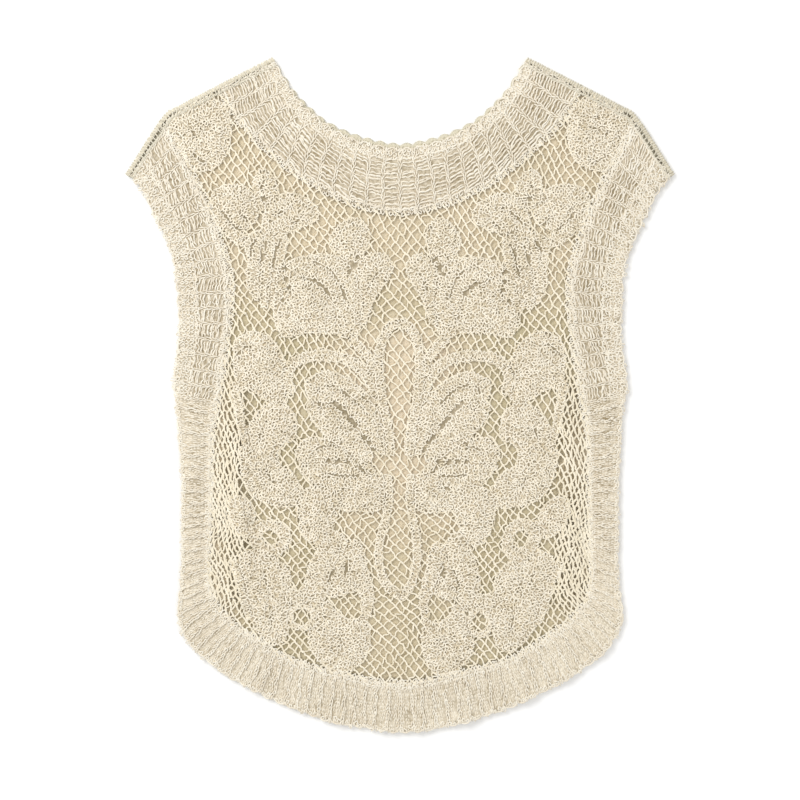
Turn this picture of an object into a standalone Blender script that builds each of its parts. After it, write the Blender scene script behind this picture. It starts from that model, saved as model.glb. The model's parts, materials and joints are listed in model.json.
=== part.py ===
"""Sleeveless crochet-lace top with knitted rib bands, laid flat, front up.

Metres, +Z up, +Y towards the shoulders.  The origin is the middle of the
garment's outline, on the surface that it lies on.  Six pieces are cut and
joined as on the real garment: a lace front, a plain knitted back, and on each
of them a neck band and one border that runs down the armhole and side, round
the hem and up the other side.  The back's shoulder edges roll over the top
fold and meet the front at a seam that lies a few millimetres down the front.
"""
import math

import bmesh
import bpy

MM = 0.001

# ---- driving sizes, millimetres -------------------------------------------
BACK_WALL = 2.2          # knitted back, all three pieces
LACE_WALL = 2.2          # crochet lace front
BAND_WALL = 2.6          # ribbed bands of the front
LAYER_GAP = 0.3          # back layer to front layer
SEAM_GAP = 0.4           # between pieces that are joined along a seam
SHOULDER_WRAP = 4.4      # back's shoulder edge, measured onto the front
Y_SHIFT = -0.196            # centres the outline on the origin

# ---- divisions of the half garment ----------------------------------------
SIDE_ROWS = 22           # border, shoulder to hem corner
HEM_ROWS = 17            # border, hem corner to the centre
SHOULDER_ROWS = 3        # lace panel along the shoulder
BAND_COLUMNS = 3         # across a band
NECK_ROWS = HEM_ROWS - SHOULDER_ROWS

# ---- border: one row for each station, shoulder tip to centre of the hem ---
# station name, free edge x, y, seam edge x, y
BORDER = (
    ("shoulder tip", 238.0, 192.3, 206.5, 240.9),
    ("cap 1", 226.2, 178.6, 193.6, 215.2),
    ("cap 2", 216.5, 158.0, 176.9, 183.5),
    ("cap 3", 206.8, 138.6, 166.3, 158.0),
    ("armhole 1", 199.8, 120.1, 156.6, 132.4),
    ("armhole 2", 196.2, 100.8, 149.6, 106.0),
    ("armhole 3", 194.5, 78.8, 148.7, 79.6),
    ("armhole 4", 194.0, 56.8, 151.4, 53.2),
    ("armhole 5", 195.8, 34.8, 154.9, 27.7),
    ("underarm", 199.3, 11.0, 158.4, 4.0),
    ("side 1", 197.1, -9.2, 161.9, -15.4),
    ("side 2", 193.6, -40.0, 165.9, -41.8),
    ("side 3", 191.8, -75.2, 166.3, -75.2),
    ("side 4", 191.8, -110.4, 167.2, -108.7),
    ("side 5", 191.8, -141.2, 168.1, -136.0),
    ("side 6", 192.7, -172.0, 168.1, -161.5),
    ("corner 1", 194.9, -196.7, 165.4, -178.2),
    ("corner 2", 186.6, -218.7, 156.6, -191.4),
    ("corner 3", 169.0, -235.4, 143.4, -203.7),
    ("hem 1", 143.4, -252.1, 125.8, -215.2),
    ("hem 2", 116.2, -266.2, 103.8, -229.2),
    ("hem 3", 88.0, -278.5, 81.0, -238.0),
    ("hem 4", 57.2, -288.2, 53.7, -245.1),
    ("hem 5", 27.3, -294.4, 25.5, -251.7),
    ("hem centre", 0.0, -297.0, 0.0, -253.9),
)
CORNER_STATION = 17      # where the lace panel's lower corner meets the border

# ---- neck bands: shoulder to centre; both share the seam edge --------------
# station name, front free edge x, y, back free edge x, y, seam edge x, y
NECK = (
    ("shoulder", 110.9, 293.0, 110.0, 293.5, 157.5, 269.1),
    ("neck 1", 102.5, 278.1, 101.2, 279.4, 149.8, 252.0),
    ("neck 2", 93.3, 263.6, 91.5, 265.3, 137.0, 235.6),
    ("neck 3", 82.3, 251.2, 80.1, 253.9, 118.8, 216.8),
    ("neck 4", 68.6, 239.4, 66.9, 242.4, 97.8, 199.2),
    ("neck 5", 49.3, 228.4, 47.5, 232.3, 72.0, 182.8),
    ("neck 6", 26.0, 220.0, 24.6, 224.8, 37.8, 167.4),
    ("centre", 0.0, 216.0, 0.0, 220.9, 0.0, 160.6),
)

# ---- shoulder seam, from the border to the neck band ----------------------
# point name, x, y
SHOULDER = (
    ("border", 206.5, 240.9),
    ("knee", 193.2, 250.4),
    ("neck band", 157.5, 269.1),
)

# ---- soft folds of the front: ridges that rise off the back ----------------
# name, start x, y, end x, y, half width, rise at the start, rise at the end
FOLDS = (
    ("left side", -142.6, 2.2, -139.0, -179.1, 14.1, 3.2, 3.2),
    ("left band", -181.3, -4.8, -181.3, -172.0, 12.3, 1.6, 1.6),
    ("left pull", -153.1, -66.4, -130.2, -132.4, 7.9, 1.2, 1.2),
    ("right side", 146.1, 2.2, 149.6, -179.1, 15.8, 2.4, 2.4),
    ("right band", 182.2, -4.8, 182.2, -172.0, 12.3, 1.4, 1.4),
    ("hem flute 1", -147.8, -209.0, -171.6, -244.2, 13.2, 0.3, 1.8),
    ("hem flute 2", -116.2, -226.6, -130.2, -260.0, 14.1, 0.4, 2.4),
    ("hem flute 3", -84.5, -240.7, -90.6, -279.4, 13.2, 0.4, 2.0),
    ("hem flute 4", -51.9, -247.7, -56.3, -290.0, 15.0, 0.5, 2.8),
    ("hem flute 5", -12.3, -254.8, -12.3, -297.0, 15.8, 0.4, 2.3),
    ("hem flute 6", 14.1, -253.9, 15.8, -297.0, 11.4, 0.3, 1.8),
    ("hem flute 7", 51.9, -246.8, 58.1, -287.3, 16.7, 0.5, 3.0),
    ("hem flute 8", 103.0, -229.2, 114.4, -272.4, 15.0, 0.7, 3.0),
    ("hem flute 9", 132.9, -212.5, 150.5, -253.0, 14.1, 0.4, 2.2),
    ("hem flute 10", 154.9, -191.4, 181.3, -224.8, 14.1, 0.2, 1.6),
)

# ---- finishes: piece, linear colour, roughness -----------------------------
FINISHES = {
    "front_lace_panel": ((0.80, 0.71, 0.55), 0.90),
    "front_border": ((0.77, 0.68, 0.52), 0.90),
    "front_neck_band": ((0.78, 0.69, 0.53), 0.90),
    "back_panel": ((0.55, 0.48, 0.32), 0.92),
    "back_border": ((0.74, 0.65, 0.49), 0.90),
    "back_neck_band": ((0.74, 0.65, 0.49), 0.90),
}


# ---- curves ----------------------------------------------------------------
def catmull(p0, p1, p2, p3, t):
    """Point between p1 and p2."""
    return tuple(
        0.5 * (2 * b + (c - a) * t + (2 * a - 5 * b + 4 * c - d) * t * t
               + (3 * b - a - 3 * c + d) * t ** 3)
        for a, b, c, d in zip(p0, p1, p2, p3))


def smooth(points, s, mirror_end=False):
    """Smooth curve through the points, s from 0 to the last index.

    mirror_end continues the curve as its own mirror image across X = 0.
    """
    last = len(points) - 1
    i = min(int(s), last - 1)
    t = s - i
    first = tuple(2 * a - b for a, b in zip(points[0], points[1]))
    if mirror_end:
        after = (-points[last - 1][0], points[last - 1][1])
    else:
        after = tuple(2 * a - b for a, b in zip(points[last], points[last - 1]))
    ring = [first] + list(points) + [after]
    return catmull(ring[i], ring[i + 1], ring[i + 2], ring[i + 3], t)


def even_steps(points, s0, s1, count, mirror_end=False):
    """Curve parameters from s0 to s1 at equal distances along the curve."""
    fine = 60
    ss = [s0 + (s1 - s0) * k / (fine * count) for k in range(fine * count + 1)]
    run = [0.0]
    prev = smooth(points, ss[0], mirror_end)
    for s in ss[1:]:
        here = smooth(points, s, mirror_end)
        run.append(run[-1] + math.dist(prev, here))
        prev = here
    out, k = [], 0
    for n in range(count + 1):
        want = run[-1] * n / count
        while k < len(run) - 1 and run[k + 1] < want:
            k += 1
        if k >= len(run) - 1:
            out.append(ss[-1])
            continue
        span = run[k + 1] - run[k]
        out.append(ss[k] + (ss[k + 1] - ss[k]) * ((want - run[k]) / span if span else 0.0))
    return out


def towards(a, b, distance):
    """Point a moved towards b by a distance."""
    run = math.dist(a, b)
    return tuple(p + (q - p) * distance / run for p, q in zip(a, b))


BORDER_FREE = [row[1:3] for row in BORDER]
BORDER_SEAM = [row[3:5] for row in BORDER]
NECK_FREE = {"front": [row[1:3] for row in NECK], "back": [row[3:5] for row in NECK]}
NECK_SEAM = [row[5:7] for row in NECK]

BORDER_S = (even_steps(BORDER_SEAM, 0, CORNER_STATION, SIDE_ROWS, True)
            + even_steps(BORDER_SEAM, CORNER_STATION, len(BORDER) - 1, HEM_ROWS, True)[1:])
NECK_S = even_steps(NECK_SEAM, 0, len(NECK) - 1, NECK_ROWS, True)


def shoulder_point(k):
    """Point k of the lace panel's shoulder edge, border to neck band."""
    pts = [row[1:3] for row in SHOULDER]
    if k == 0:
        return pts[0]
    u = (k - 1) / (SHOULDER_ROWS - 1)
    return tuple(a + (b - a) * u for a, b in zip(pts[1], pts[2]))


def outward(x, y):
    """Plan direction out of the garment across the shoulder seam, +X half."""
    ends = (NECK[0][1:3], NECK[0][5:7], SHOULDER[1][1:3], SHOULDER[0][1:3],
            BORDER[0][1:3])
    best = None
    for a, b in zip(ends, ends[1:]):
        dx, dy = b[0] - a[0], b[1] - a[1]
        run = math.hypot(dx, dy)
        t = ((x - a[0]) * dx + (y - a[1]) * dy) / (run * run)
        gap = math.hypot(x - a[0] - dx * min(max(t, 0), 1),
                         y - a[1] - dy * min(max(t, 0), 1))
        weight = 1.0 / (gap + 2.0) ** 4
        n = (-dy / run * weight, dx / run * weight)
        best = n if best is None else (best[0] + n[0], best[1] + n[1])
    run = math.hypot(*best)
    return best[0] / run, best[1] / run


# ---- height of the front over the back -------------------------------------
def rise(x, y):
    total = 0.0
    for _, x0, y0, x1, y1, half, r0, r1 in FOLDS:
        dx, dy = x1 - x0, y1 - y0
        t = ((x - x0) * dx + (y - y0) * dy) / (dx * dx + dy * dy)
        t = min(max(t, 0.0), 1.0)
        d = math.hypot(x - x0 - dx * t, y - y0 - dy * t) / half
        if d < 1.0:
            total += (r0 + (r1 - r0) * t) * 0.5 * (1 + math.cos(math.pi * d))
    return total


# ---- plan of each piece, +X half -------------------------------------------
def border_plan(row, w):
    """Border station row, w 0 at the seam edge and 1 at the free edge."""
    s = BORDER_S[row]
    seam = smooth(BORDER_SEAM, s, True)
    free = smooth(BORDER_FREE, s, True)
    seam = towards(seam, free, SEAM_GAP / 2)
    return tuple(a + (b - a) * w for a, b in zip(seam, free))


def neck_plan(side, row, w):
    """Neck band station row, w 0 at the seam edge and 1 at the free edge."""
    s = NECK_S[row]
    seam = smooth(NECK_SEAM, s, True)
    free = smooth(NECK_FREE[side], s, True)
    seam = towards(seam, free, SEAM_GAP / 2)
    return tuple(a + (b - a) * w for a, b in zip(seam, free))


def inset(edge, k, distance):
    """Point k of an edge, moved square to it, to the right of its run."""
    a = edge[max(k - 1, 0)]
    b = edge[min(k + 1, len(edge) - 1)]
    dx, dy = b[0] - a[0], b[1] - a[1]
    run = math.hypot(dx, dy)
    return (edge[k][0] + dy / run * distance, edge[k][1] - dx / run * distance)


def panel_edges():
    """Top, side, bottom and centre edges of the panel's +X half."""
    seam = [smooth(BORDER_SEAM, s, True) for s in BORDER_S]
    side = seam[:SIDE_ROWS + 1]
    hem = seam[SIDE_ROWS:]
    neck = [smooth(NECK_SEAM, s, True) for s in NECK_S]
    g = SEAM_GAP / 2
    side_in = [inset(side, k, g) for k in range(len(side))]
    hem_in = [inset(hem, k, g) for k in range(len(hem))]
    hem_in[-1] = (0.0, hem[-1][1] + g)
    corner = tuple((a + b) / 2 for a, b in zip(side_in[-1], hem_in[0]))
    side_in[-1] = hem_in[0] = corner
    neck_in = [inset(neck, k, -g) for k in range(len(neck))]
    neck_in[-1] = (0.0, neck[-1][1] - g)
    shoulder = [shoulder_point(k) for k in range(SHOULDER_ROWS + 1)]
    along = (shoulder[1][0] - shoulder[0][0], shoulder[1][1] - shoulder[0][1])
    run = math.hypot(*along)
    shoulder[0] = (shoulder[0][0] + along[0] / run * g, shoulder[0][1] + along[1] / run * g)
    side_in[0] = shoulder[0]
    last = shoulder[-1]
    along = (last[0] - shoulder[-2][0], last[1] - shoulder[-2][1])
    run = math.hypot(*along)
    shoulder[-1] = (last[0] - along[0] / run * g, last[1] - along[1] / run * g)
    neck_in[0] = shoulder[-1]
    top = shoulder + neck_in[1:]
    return top, side_in, hem_in, (top[-1], hem_in[-1])


TOP, SIDE, HEM, CENTRE = panel_edges()


def panel_plan(i, j):
    """Panel point, i columns from the side and j rows from the top."""
    u, v = i / HEM_ROWS, j / SIDE_ROWS
    centre = tuple(a + (b - a) * v for a, b in zip(*CENTRE))
    out = []
    for k in range(2):
        ruled = ((1 - v) * TOP[i][k] + v * HEM[i][k]
                 + (1 - u) * SIDE[j][k] + u * centre[k])
        corners = ((1 - u) * (1 - v) * TOP[0][k] + u * (1 - v) * TOP[-1][k]
                   + (1 - u) * v * HEM[0][k] + u * v * HEM[-1][k])
        out.append(ruled - corners)
    return tuple(out)


# ---- building --------------------------------------------------------------
def clear_scene():
    for obj in list(bpy.data.objects):
        bpy.data.objects.remove(obj, do_unlink=True)
    for group in list(bpy.data.collections):
        bpy.data.collections.remove(group)


def material_for(name):
    colour, roughness = FINISHES[name]
    material = bpy.data.materials.new(name + "_yarn")
    material.use_nodes = True
    shader = material.node_tree.nodes["Principled BSDF"]
    shader.inputs["Base Color"].default_value = (*colour, 1.0)
    shader.inputs["Roughness"].default_value = roughness
    shader.inputs["Metallic"].default_value = 0.0
    material.diffuse_color = (*colour, 1.0)
    return material


FOLD_RADIUS = (LAYER_GAP + BACK_WALL) / 2
FOLD_START = SHOULDER_WRAP - BACK_WALL / 2 - FOLD_RADIUS


def cloth_piece(name, columns, rows, place, wall, group, shoulder_edge=None):
    """A cloth wall from a grid whose vertices a function puts in place.

    place(i, j) gives the middle of the wall in millimetres.  shoulder_edge(i, j)
    says that a grid point is on a shoulder edge that rolls over the top fold.
    """
    bm = bmesh.new()
    column = bm.verts.layers.int.new("column")
    row = bm.verts.layers.int.new("row")
    bmesh.ops.create_grid(bm, x_segments=columns, y_segments=rows, size=0.5)
    for vert in bm.verts:
        i = round((vert.co.x + 0.5) * columns)
        j = round((0.5 - vert.co.y) * rows)
        vert[column], vert[row] = i, j
        vert.co = [c * MM for c in place(i, j)]
    if shoulder_edge is not None:
        edges = [e for e in bm.edges if e.is_boundary
                 and all(shoulder_edge(v[column], v[row]) for v in e.verts)]
        base = {(v[column], v[row]): v.co.copy() for e in edges for v in e.verts}
        turn = 4
        steps = [(FOLD_START + FOLD_RADIUS * math.sin(math.pi * k / turn),
                  FOLD_RADIUS * (1 - math.cos(math.pi * k / turn)))
                 for k in range(1, turn + 1)]
        steps.append((SEAM_GAP / 2, 2 * FOLD_RADIUS))
        for out_by, up_by in steps:
            made = bmesh.ops.extrude_edge_only(bm, edges=edges)["geom"]
            for vert in (g for g in made if isinstance(g, bmesh.types.BMVert)):
                start = base[(vert[column], vert[row])]
                side = 1.0 if start.x >= 0 else -1.0
                nx, ny = outward(abs(start.x) / MM, start.y / MM)
                push = (out_by - FOLD_START) * MM
                vert.co = (start.x + side * nx * push, start.y + ny * push,
                           start.z + up_by * MM)
            edges = [g for g in made if isinstance(g, bmesh.types.BMEdge)]
    bm.normal_update()
    if sum(f.normal.z * f.calc_area() for f in bm.faces) < 0:
        bmesh.ops.reverse_faces(bm, faces=bm.faces)
    mesh = bpy.data.meshes.new(name)
    bm.to_mesh(mesh)
    bm.free()
    mesh.shade_smooth()
    obj = bpy.data.objects.new(name, mesh)
    group.objects.link(obj)
    mesh.materials.append(material_for(name))
    wall_mod = obj.modifiers.new("cloth wall", "SOLIDIFY")
    wall_mod.thickness = wall * MM
    wall_mod.offset = 0.0
    wall_mod.use_even_offset = False
    wall_mod.use_rim = True
    return obj


def mirrored(plan, count, height, at_shoulder=0.0, shoulder_rows=None):
    """Grid place function: a half plan repeated on both sides of X = 0.

    The first index runs from the -X side, over the centre, to the +X side.
    """
    def place(i, j):
        side = -1.0 if i <= count else 1.0
        k = i if i <= count else 2 * count - i
        x, y = plan(k, j)
        if shoulder_rows is not None and shoulder_rows(k, j):
            nx, ny = outward(x, y)
            x, y = x + nx * at_shoulder, y + ny * at_shoulder
        x *= side
        return x, y + Y_SHIFT, height(x, y)
    return place


def build():
    clear_scene()
    group = bpy.data.collections.new("crochet_top")
    bpy.context.scene.collection.children.link(group)

    floor_mid = BACK_WALL / 2
    over = BACK_WALL + LAYER_GAP

    def back_height(x, y):
        return floor_mid

    def lace_height(x, y):
        return over + LACE_WALL / 2 + rise(x, y)

    def band_height(x, y):
        return over + BAND_WALL / 2 + rise(x, y)

    border_rows = SIDE_ROWS + HEM_ROWS

    def border(k, j):
        return border_plan(k, j / BAND_COLUMNS)

    def front_neck(k, j):
        return neck_plan("front", k, j / BAND_COLUMNS)

    def back_neck(k, j):
        return neck_plan("back", k, j / BAND_COLUMNS)

    def first_row(k, j):
        return k == 0

    def panel_shoulder(k, j):
        return j == 0 and k <= SHOULDER_ROWS

    def ends(count):
        return lambda i, j: i in (0, 2 * count)

    def panel_ends(i, j):
        return j == 0 and min(i, 2 * HEM_ROWS - i) <= SHOULDER_ROWS

    cloth_piece("back_panel", 2 * HEM_ROWS, SIDE_ROWS,
                mirrored(panel_plan, HEM_ROWS, back_height, FOLD_START, panel_shoulder),
                BACK_WALL, group, panel_ends)
    cloth_piece("back_border", 2 * border_rows, BAND_COLUMNS,
                mirrored(border, border_rows, back_height, FOLD_START, first_row),
                BACK_WALL, group, ends(border_rows))
    cloth_piece("back_neck_band", 2 * NECK_ROWS, BAND_COLUMNS,
                mirrored(back_neck, NECK_ROWS, back_height, FOLD_START, first_row),
                BACK_WALL, group, ends(NECK_ROWS))
    cloth_piece("front_lace_panel", 2 * HEM_ROWS, SIDE_ROWS,
                mirrored(panel_plan, HEM_ROWS, lace_height, -SEAM_GAP / 2, panel_shoulder),
                LACE_WALL, group)
    cloth_piece("front_border", 2 * border_rows, BAND_COLUMNS,
                mirrored(border, border_rows, band_height, -SEAM_GAP / 2, first_row),
                BAND_WALL, group)
    cloth_piece("front_neck_band", 2 * NECK_ROWS, BAND_COLUMNS,
                mirrored(front_neck, NECK_ROWS, band_height, -SEAM_GAP / 2, first_row),
                BAND_WALL, group)


build()
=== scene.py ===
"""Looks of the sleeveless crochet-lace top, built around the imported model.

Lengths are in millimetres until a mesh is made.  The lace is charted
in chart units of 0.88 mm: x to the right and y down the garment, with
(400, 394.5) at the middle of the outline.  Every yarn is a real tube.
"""
import json
import math

import bpy
import numpy as np
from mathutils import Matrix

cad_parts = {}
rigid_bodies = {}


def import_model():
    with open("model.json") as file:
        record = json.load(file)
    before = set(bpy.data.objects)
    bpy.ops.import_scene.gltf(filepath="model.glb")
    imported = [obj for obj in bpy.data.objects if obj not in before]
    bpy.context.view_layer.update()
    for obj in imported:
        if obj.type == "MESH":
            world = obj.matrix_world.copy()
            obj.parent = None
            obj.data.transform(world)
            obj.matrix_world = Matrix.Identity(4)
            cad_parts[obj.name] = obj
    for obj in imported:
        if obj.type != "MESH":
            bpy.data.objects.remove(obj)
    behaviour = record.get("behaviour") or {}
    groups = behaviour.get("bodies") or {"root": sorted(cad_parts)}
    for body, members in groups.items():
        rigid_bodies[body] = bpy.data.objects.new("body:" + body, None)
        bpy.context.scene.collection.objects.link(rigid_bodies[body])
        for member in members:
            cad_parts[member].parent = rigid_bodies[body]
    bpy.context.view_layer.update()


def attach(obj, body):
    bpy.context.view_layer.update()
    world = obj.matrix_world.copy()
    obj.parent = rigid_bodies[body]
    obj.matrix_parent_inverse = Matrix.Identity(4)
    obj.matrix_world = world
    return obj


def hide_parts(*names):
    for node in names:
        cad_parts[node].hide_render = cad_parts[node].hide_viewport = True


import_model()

MM = 0.001
UNIT = 0.88
TAU = 2 * math.pi
Y_SHIFT = -0.196
SEAM_GAP = 0.4
FRONT_Z = 2.5            # underside of the front layer, before its folds
rng = np.random.default_rng(20417)

# ---------------------------------------------------------------------------
# driving plan, repeated from the CAD source
# ---------------------------------------------------------------------------
BORDER = np.array((
    (238.0, 192.3, 206.5, 240.9), (226.2, 178.6, 193.6, 215.2),
    (216.5, 158.0, 176.9, 183.5), (206.8, 138.6, 166.3, 158.0),
    (199.8, 120.1, 156.6, 132.4), (196.2, 100.8, 149.6, 106.0),
    (194.5, 78.8, 148.7, 79.6), (194.0, 56.8, 151.4, 53.2),
    (195.8, 34.8, 154.9, 27.7), (199.3, 11.0, 158.4, 4.0),
    (197.1, -9.2, 161.9, -15.4), (193.6, -40.0, 165.9, -41.8),
    (191.8, -75.2, 166.3, -75.2), (191.8, -110.4, 167.2, -108.7),
    (191.8, -141.2, 168.1, -136.0), (192.7, -172.0, 168.1, -161.5),
    (194.9, -196.7, 165.4, -178.2), (186.6, -218.7, 156.6, -191.4),
    (169.0, -235.4, 143.4, -203.7), (143.4, -252.1, 125.8, -215.2),
    (116.2, -266.2, 103.8, -229.2), (88.0, -278.5, 81.0, -238.0),
    (57.2, -288.2, 53.7, -245.1), (27.3, -294.4, 25.5, -251.7),
    (0.0, -297.0, 0.0, -253.9),
))
NECK = np.array((
    (110.9, 293.0, 110.0, 293.5, 157.5, 269.1),
    (102.5, 278.1, 101.2, 279.4, 149.8, 252.0),
    (93.3, 263.6, 91.5, 265.3, 137.0, 235.6),
    (82.3, 251.2, 80.1, 253.9, 118.8, 216.8),
    (68.6, 239.4, 66.9, 242.4, 97.8, 199.2),
    (49.3, 228.4, 47.5, 232.3, 72.0, 182.8),
    (26.0, 220.0, 24.6, 224.8, 37.8, 167.4),
    (0.0, 216.0, 0.0, 220.9, 0.0, 160.6),
))
SHOULDER = np.array(((206.5, 240.9), (193.2, 250.4), (157.5, 269.1)))
FOLDS = (
    (-142.6, 2.2, -139.0, -179.1, 14.1, 3.2, 3.2),
    (-181.3, -4.8, -181.3, -172.0, 12.3, 1.6, 1.6),
    (-153.1, -66.4, -130.2, -132.4, 7.9, 1.2, 1.2),
    (146.1, 2.2, 149.6, -179.1, 15.8, 2.4, 2.4),
    (182.2, -4.8, 182.2, -172.0, 12.3, 1.4, 1.4),
    (-147.8, -209.0, -171.6, -244.2, 13.2, 0.3, 1.8),
    (-116.2, -226.6, -130.2, -260.0, 14.1, 0.4, 2.4),
    (-84.5, -240.7, -90.6, -279.4, 13.2, 0.4, 2.0),
    (-51.9, -247.7, -56.3, -290.0, 15.0, 0.5, 2.8),
    (-12.3, -254.8, -12.3, -297.0, 15.8, 0.4, 2.3),
    (14.1, -253.9, 15.8, -297.0, 11.4, 0.3, 1.8),
    (51.9, -246.8, 58.1, -287.3, 16.7, 0.5, 3.0),
    (103.0, -229.2, 114.4, -272.4, 15.0, 0.7, 3.0),
    (132.9, -212.5, 150.5, -253.0, 14.1, 0.4, 2.2),
    (154.9, -191.4, 181.3, -224.8, 14.1, 0.2, 1.6),
)
# the back's own creases, seen from beneath: ends, half width, depth at each end
BACK_FOLDS = (
    (-196.0, 78.0, -92.0, 12.0, 13.0, 1.30, 0.35),
    (-192.0, 40.0, -118.0, -34.0, 10.5, 1.00, 0.25),
    (190.0, 66.0, 84.0, 20.0, 12.0, 1.15, 0.30),
    (198.0, 28.0, 131.0, -50.0, 11.0, 1.25, 0.35),
    (-150.0, 206.0, -112.0, 118.0, 12.0, 0.95, 0.20),
    (146.0, 212.0, 120.0, 104.0, 11.0, 1.10, 0.25),
    (-64.0, 118.0, -30.0, 20.0, 15.0, 0.35, 1.00),
    (40.0, 126.0, 57.0, 6.0, 13.0, 0.85, 0.30),
    (-142.0, -60.0, -150.0, -176.0, 12.0, 0.30, 1.15),
    (-96.0, -98.0, -84.0, -214.0, 14.0, 0.25, 1.00),
    (12.0, -48.0, -8.0, -168.0, 13.0, 0.80, 0.35),
    (74.0, -120.0, 92.0, -236.0, 13.0, 0.30, 1.25),
    (150.0, -74.0, 144.0, -182.0, 12.5, 1.05, 0.45),
    (-158.0, -204.0, -182.0, -246.0, 11.5, 0.40, 1.20),
    (-112.0, -222.0, -128.0, -270.0, 12.5, 0.35, 1.25),
    (-66.0, -236.0, -71.0, -290.0, 11.5, 0.40, 1.10),
    (-22.0, -246.0, -19.0, -300.0, 13.0, 0.35, 1.30),
    (30.0, -246.0, 38.0, -298.0, 12.0, 0.30, 1.00),
    (84.0, -232.0, 97.0, -284.0, 13.5, 0.45, 1.30),
    (136.0, -208.0, 158.0, -250.0, 12.0, 0.35, 1.15),
    (-206.0, 132.0, -176.0, 128.0, 9.5, 0.90, 0.20),
    (208.0, 116.0, 172.0, 108.0, 10.0, 1.05, 0.20),
)
HALF_BORDER = len(BORDER) - 1
HALF_NECK = len(NECK) - 1
CORNER = 17


def rise(x, y):
    """Height of the front's soft folds; y includes the centring shift."""
    x = np.asarray(x, float)
    y = np.asarray(y, float) - Y_SHIFT
    total = np.zeros(np.broadcast(x, y).shape)
    for x0, y0, x1, y1, half, r0, r1 in FOLDS:
        dx, dy = x1 - x0, y1 - y0
        t = np.clip(((x - x0) * dx + (y - y0) * dy) / (dx * dx + dy * dy), 0, 1)
        d = np.hypot(x - x0 - dx * t, y - y0 - dy * t) / half
        total += np.where(d < 1, (r0 + (r1 - r0) * t) * 0.5 * (1 + np.cos(math.pi * np.minimum(d, 1))), 0)
    return total


def dented(x, y):
    """How far the back's creases lift its lower face."""
    x = np.asarray(x, float)
    y = np.asarray(y, float) - Y_SHIFT
    total = np.zeros(np.broadcast(x, y).shape)
    for x0, y0, x1, y1, half, r0, r1 in BACK_FOLDS:
        dx, dy = x1 - x0, y1 - y0
        long = dx * dx + dy * dy
        t = ((x - x0) * dx + (y - y0) * dy) / long
        bend = 0.07 * math.sqrt(long) * np.sin(math.pi * np.clip(t, 0, 1)) * (1 if (x0 + y1) % 2 < 1 else -1)
        d = ((x - x0) * dy - (y - y0) * dx) / math.sqrt(long) + bend
        over = np.maximum(np.maximum(-t, t - 1), 0) * math.sqrt(long)
        d = np.hypot(d, over) / (0.64 * half)
        depth = 1.15 * (r0 + (r1 - r0) * np.clip(t, 0, 1))
        total += np.where(d < 1, depth * 0.5 * (1 + np.cos(math.pi * np.minimum(d, 1))), 0)
    return 1.35 * np.tanh(total / 1.35)


def curve(points, s, mirror_end=False):
    """Smooth curve through points; s is an array from 0 to the last index."""
    points = np.asarray(points, float)
    s = np.asarray(s, float)
    last = len(points) - 1
    first = 2 * points[0] - points[1]
    after = points[-2] * (-1, 1) if mirror_end else 2 * points[-1] - points[-2]
    ring = np.vstack([first, points, after])
    i = np.clip(np.floor(s).astype(int), 0, last - 1)
    t = (s - i)[..., None]
    a, b, c, d = ring[i], ring[i + 1], ring[i + 2], ring[i + 3]
    return 0.5 * (2 * b + (c - a) * t + (2 * a - 5 * b + 4 * c - d) * t * t
                  + (3 * b - a - 3 * c + d) * t ** 3)


def dense(points, step, closed=False):
    """Points every step along the smooth curve through the given ones."""
    points = np.asarray(points, float)
    if closed:
        points = np.vstack([points, points[:1]])
        ring = np.vstack([points[-2], points, points[1]])
        s = np.linspace(0, len(points) - 1, 24 * (len(points) - 1) + 1)
        i = np.clip(np.floor(s).astype(int), 0, len(points) - 2)
        t = (s - i)[:, None]
        a, b, c, d = ring[i], ring[i + 1], ring[i + 2], ring[i + 3]
        fine = 0.5 * (2 * b + (c - a) * t + (2 * a - 5 * b + 4 * c - d) * t * t
                      + (3 * b - a - 3 * c + d) * t ** 3)
    else:
        fine = curve(points, np.linspace(0, len(points) - 1, 24 * (len(points) - 1) + 1))
    run = np.concatenate([[0], np.cumsum(np.hypot(*np.diff(fine, axis=0).T))])
    count = max(int(round(run[-1] / step)), 2)
    want = np.linspace(0, run[-1], count + 1)
    return np.stack([np.interp(want, run, fine[:, k]) for k in range(2)], axis=1)


def mirrored(xy, side):
    return xy * (side, 1.0)


def border_plan(s, w, side):
    """Band point of one side (-1 or +1): s 0 shoulder to 24 hem centre."""
    seam = curve(BORDER[:, 2:4], s, True)
    free = curve(BORDER[:, 0:2], s, True)
    span = free - seam
    width = np.linalg.norm(span, axis=-1, keepdims=True)
    seam = seam + span / width * SEAM_GAP / 2
    out = seam + (free - seam) * np.asarray(w, float)[..., None]
    return out * (side, 1.0) + (0.0, Y_SHIFT)


def neck_plan(s, w, side, layer="front"):
    seam = curve(NECK[:, 4:6], s, True)
    free = curve(NECK[:, 0:2] if layer == "front" else NECK[:, 2:4], s, True)
    span = free - seam
    width = np.linalg.norm(span, axis=-1, keepdims=True)
    seam = seam + span / width * SEAM_GAP / 2
    out = seam + (free - seam) * np.asarray(w, float)[..., None]
    return out * (side, 1.0) + (0.0, Y_SHIFT)


def neck_ribs(s, w, side):
    """neck_plan with ribs that stand more upright than square to the edge."""
    s = np.asarray(s, float)
    w = np.asarray(w, float)
    lean = np.interp(s, (0, 1.2, 2.5, 3.8, 4.7, 5.6, 6.3, 7), (0, 0, -0.35, -0.55, -0.46, -0.32, -0.10, 0))
    return neck_plan(np.clip(s + lean * (w - 0.5), 0, 7), w, side)


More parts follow.
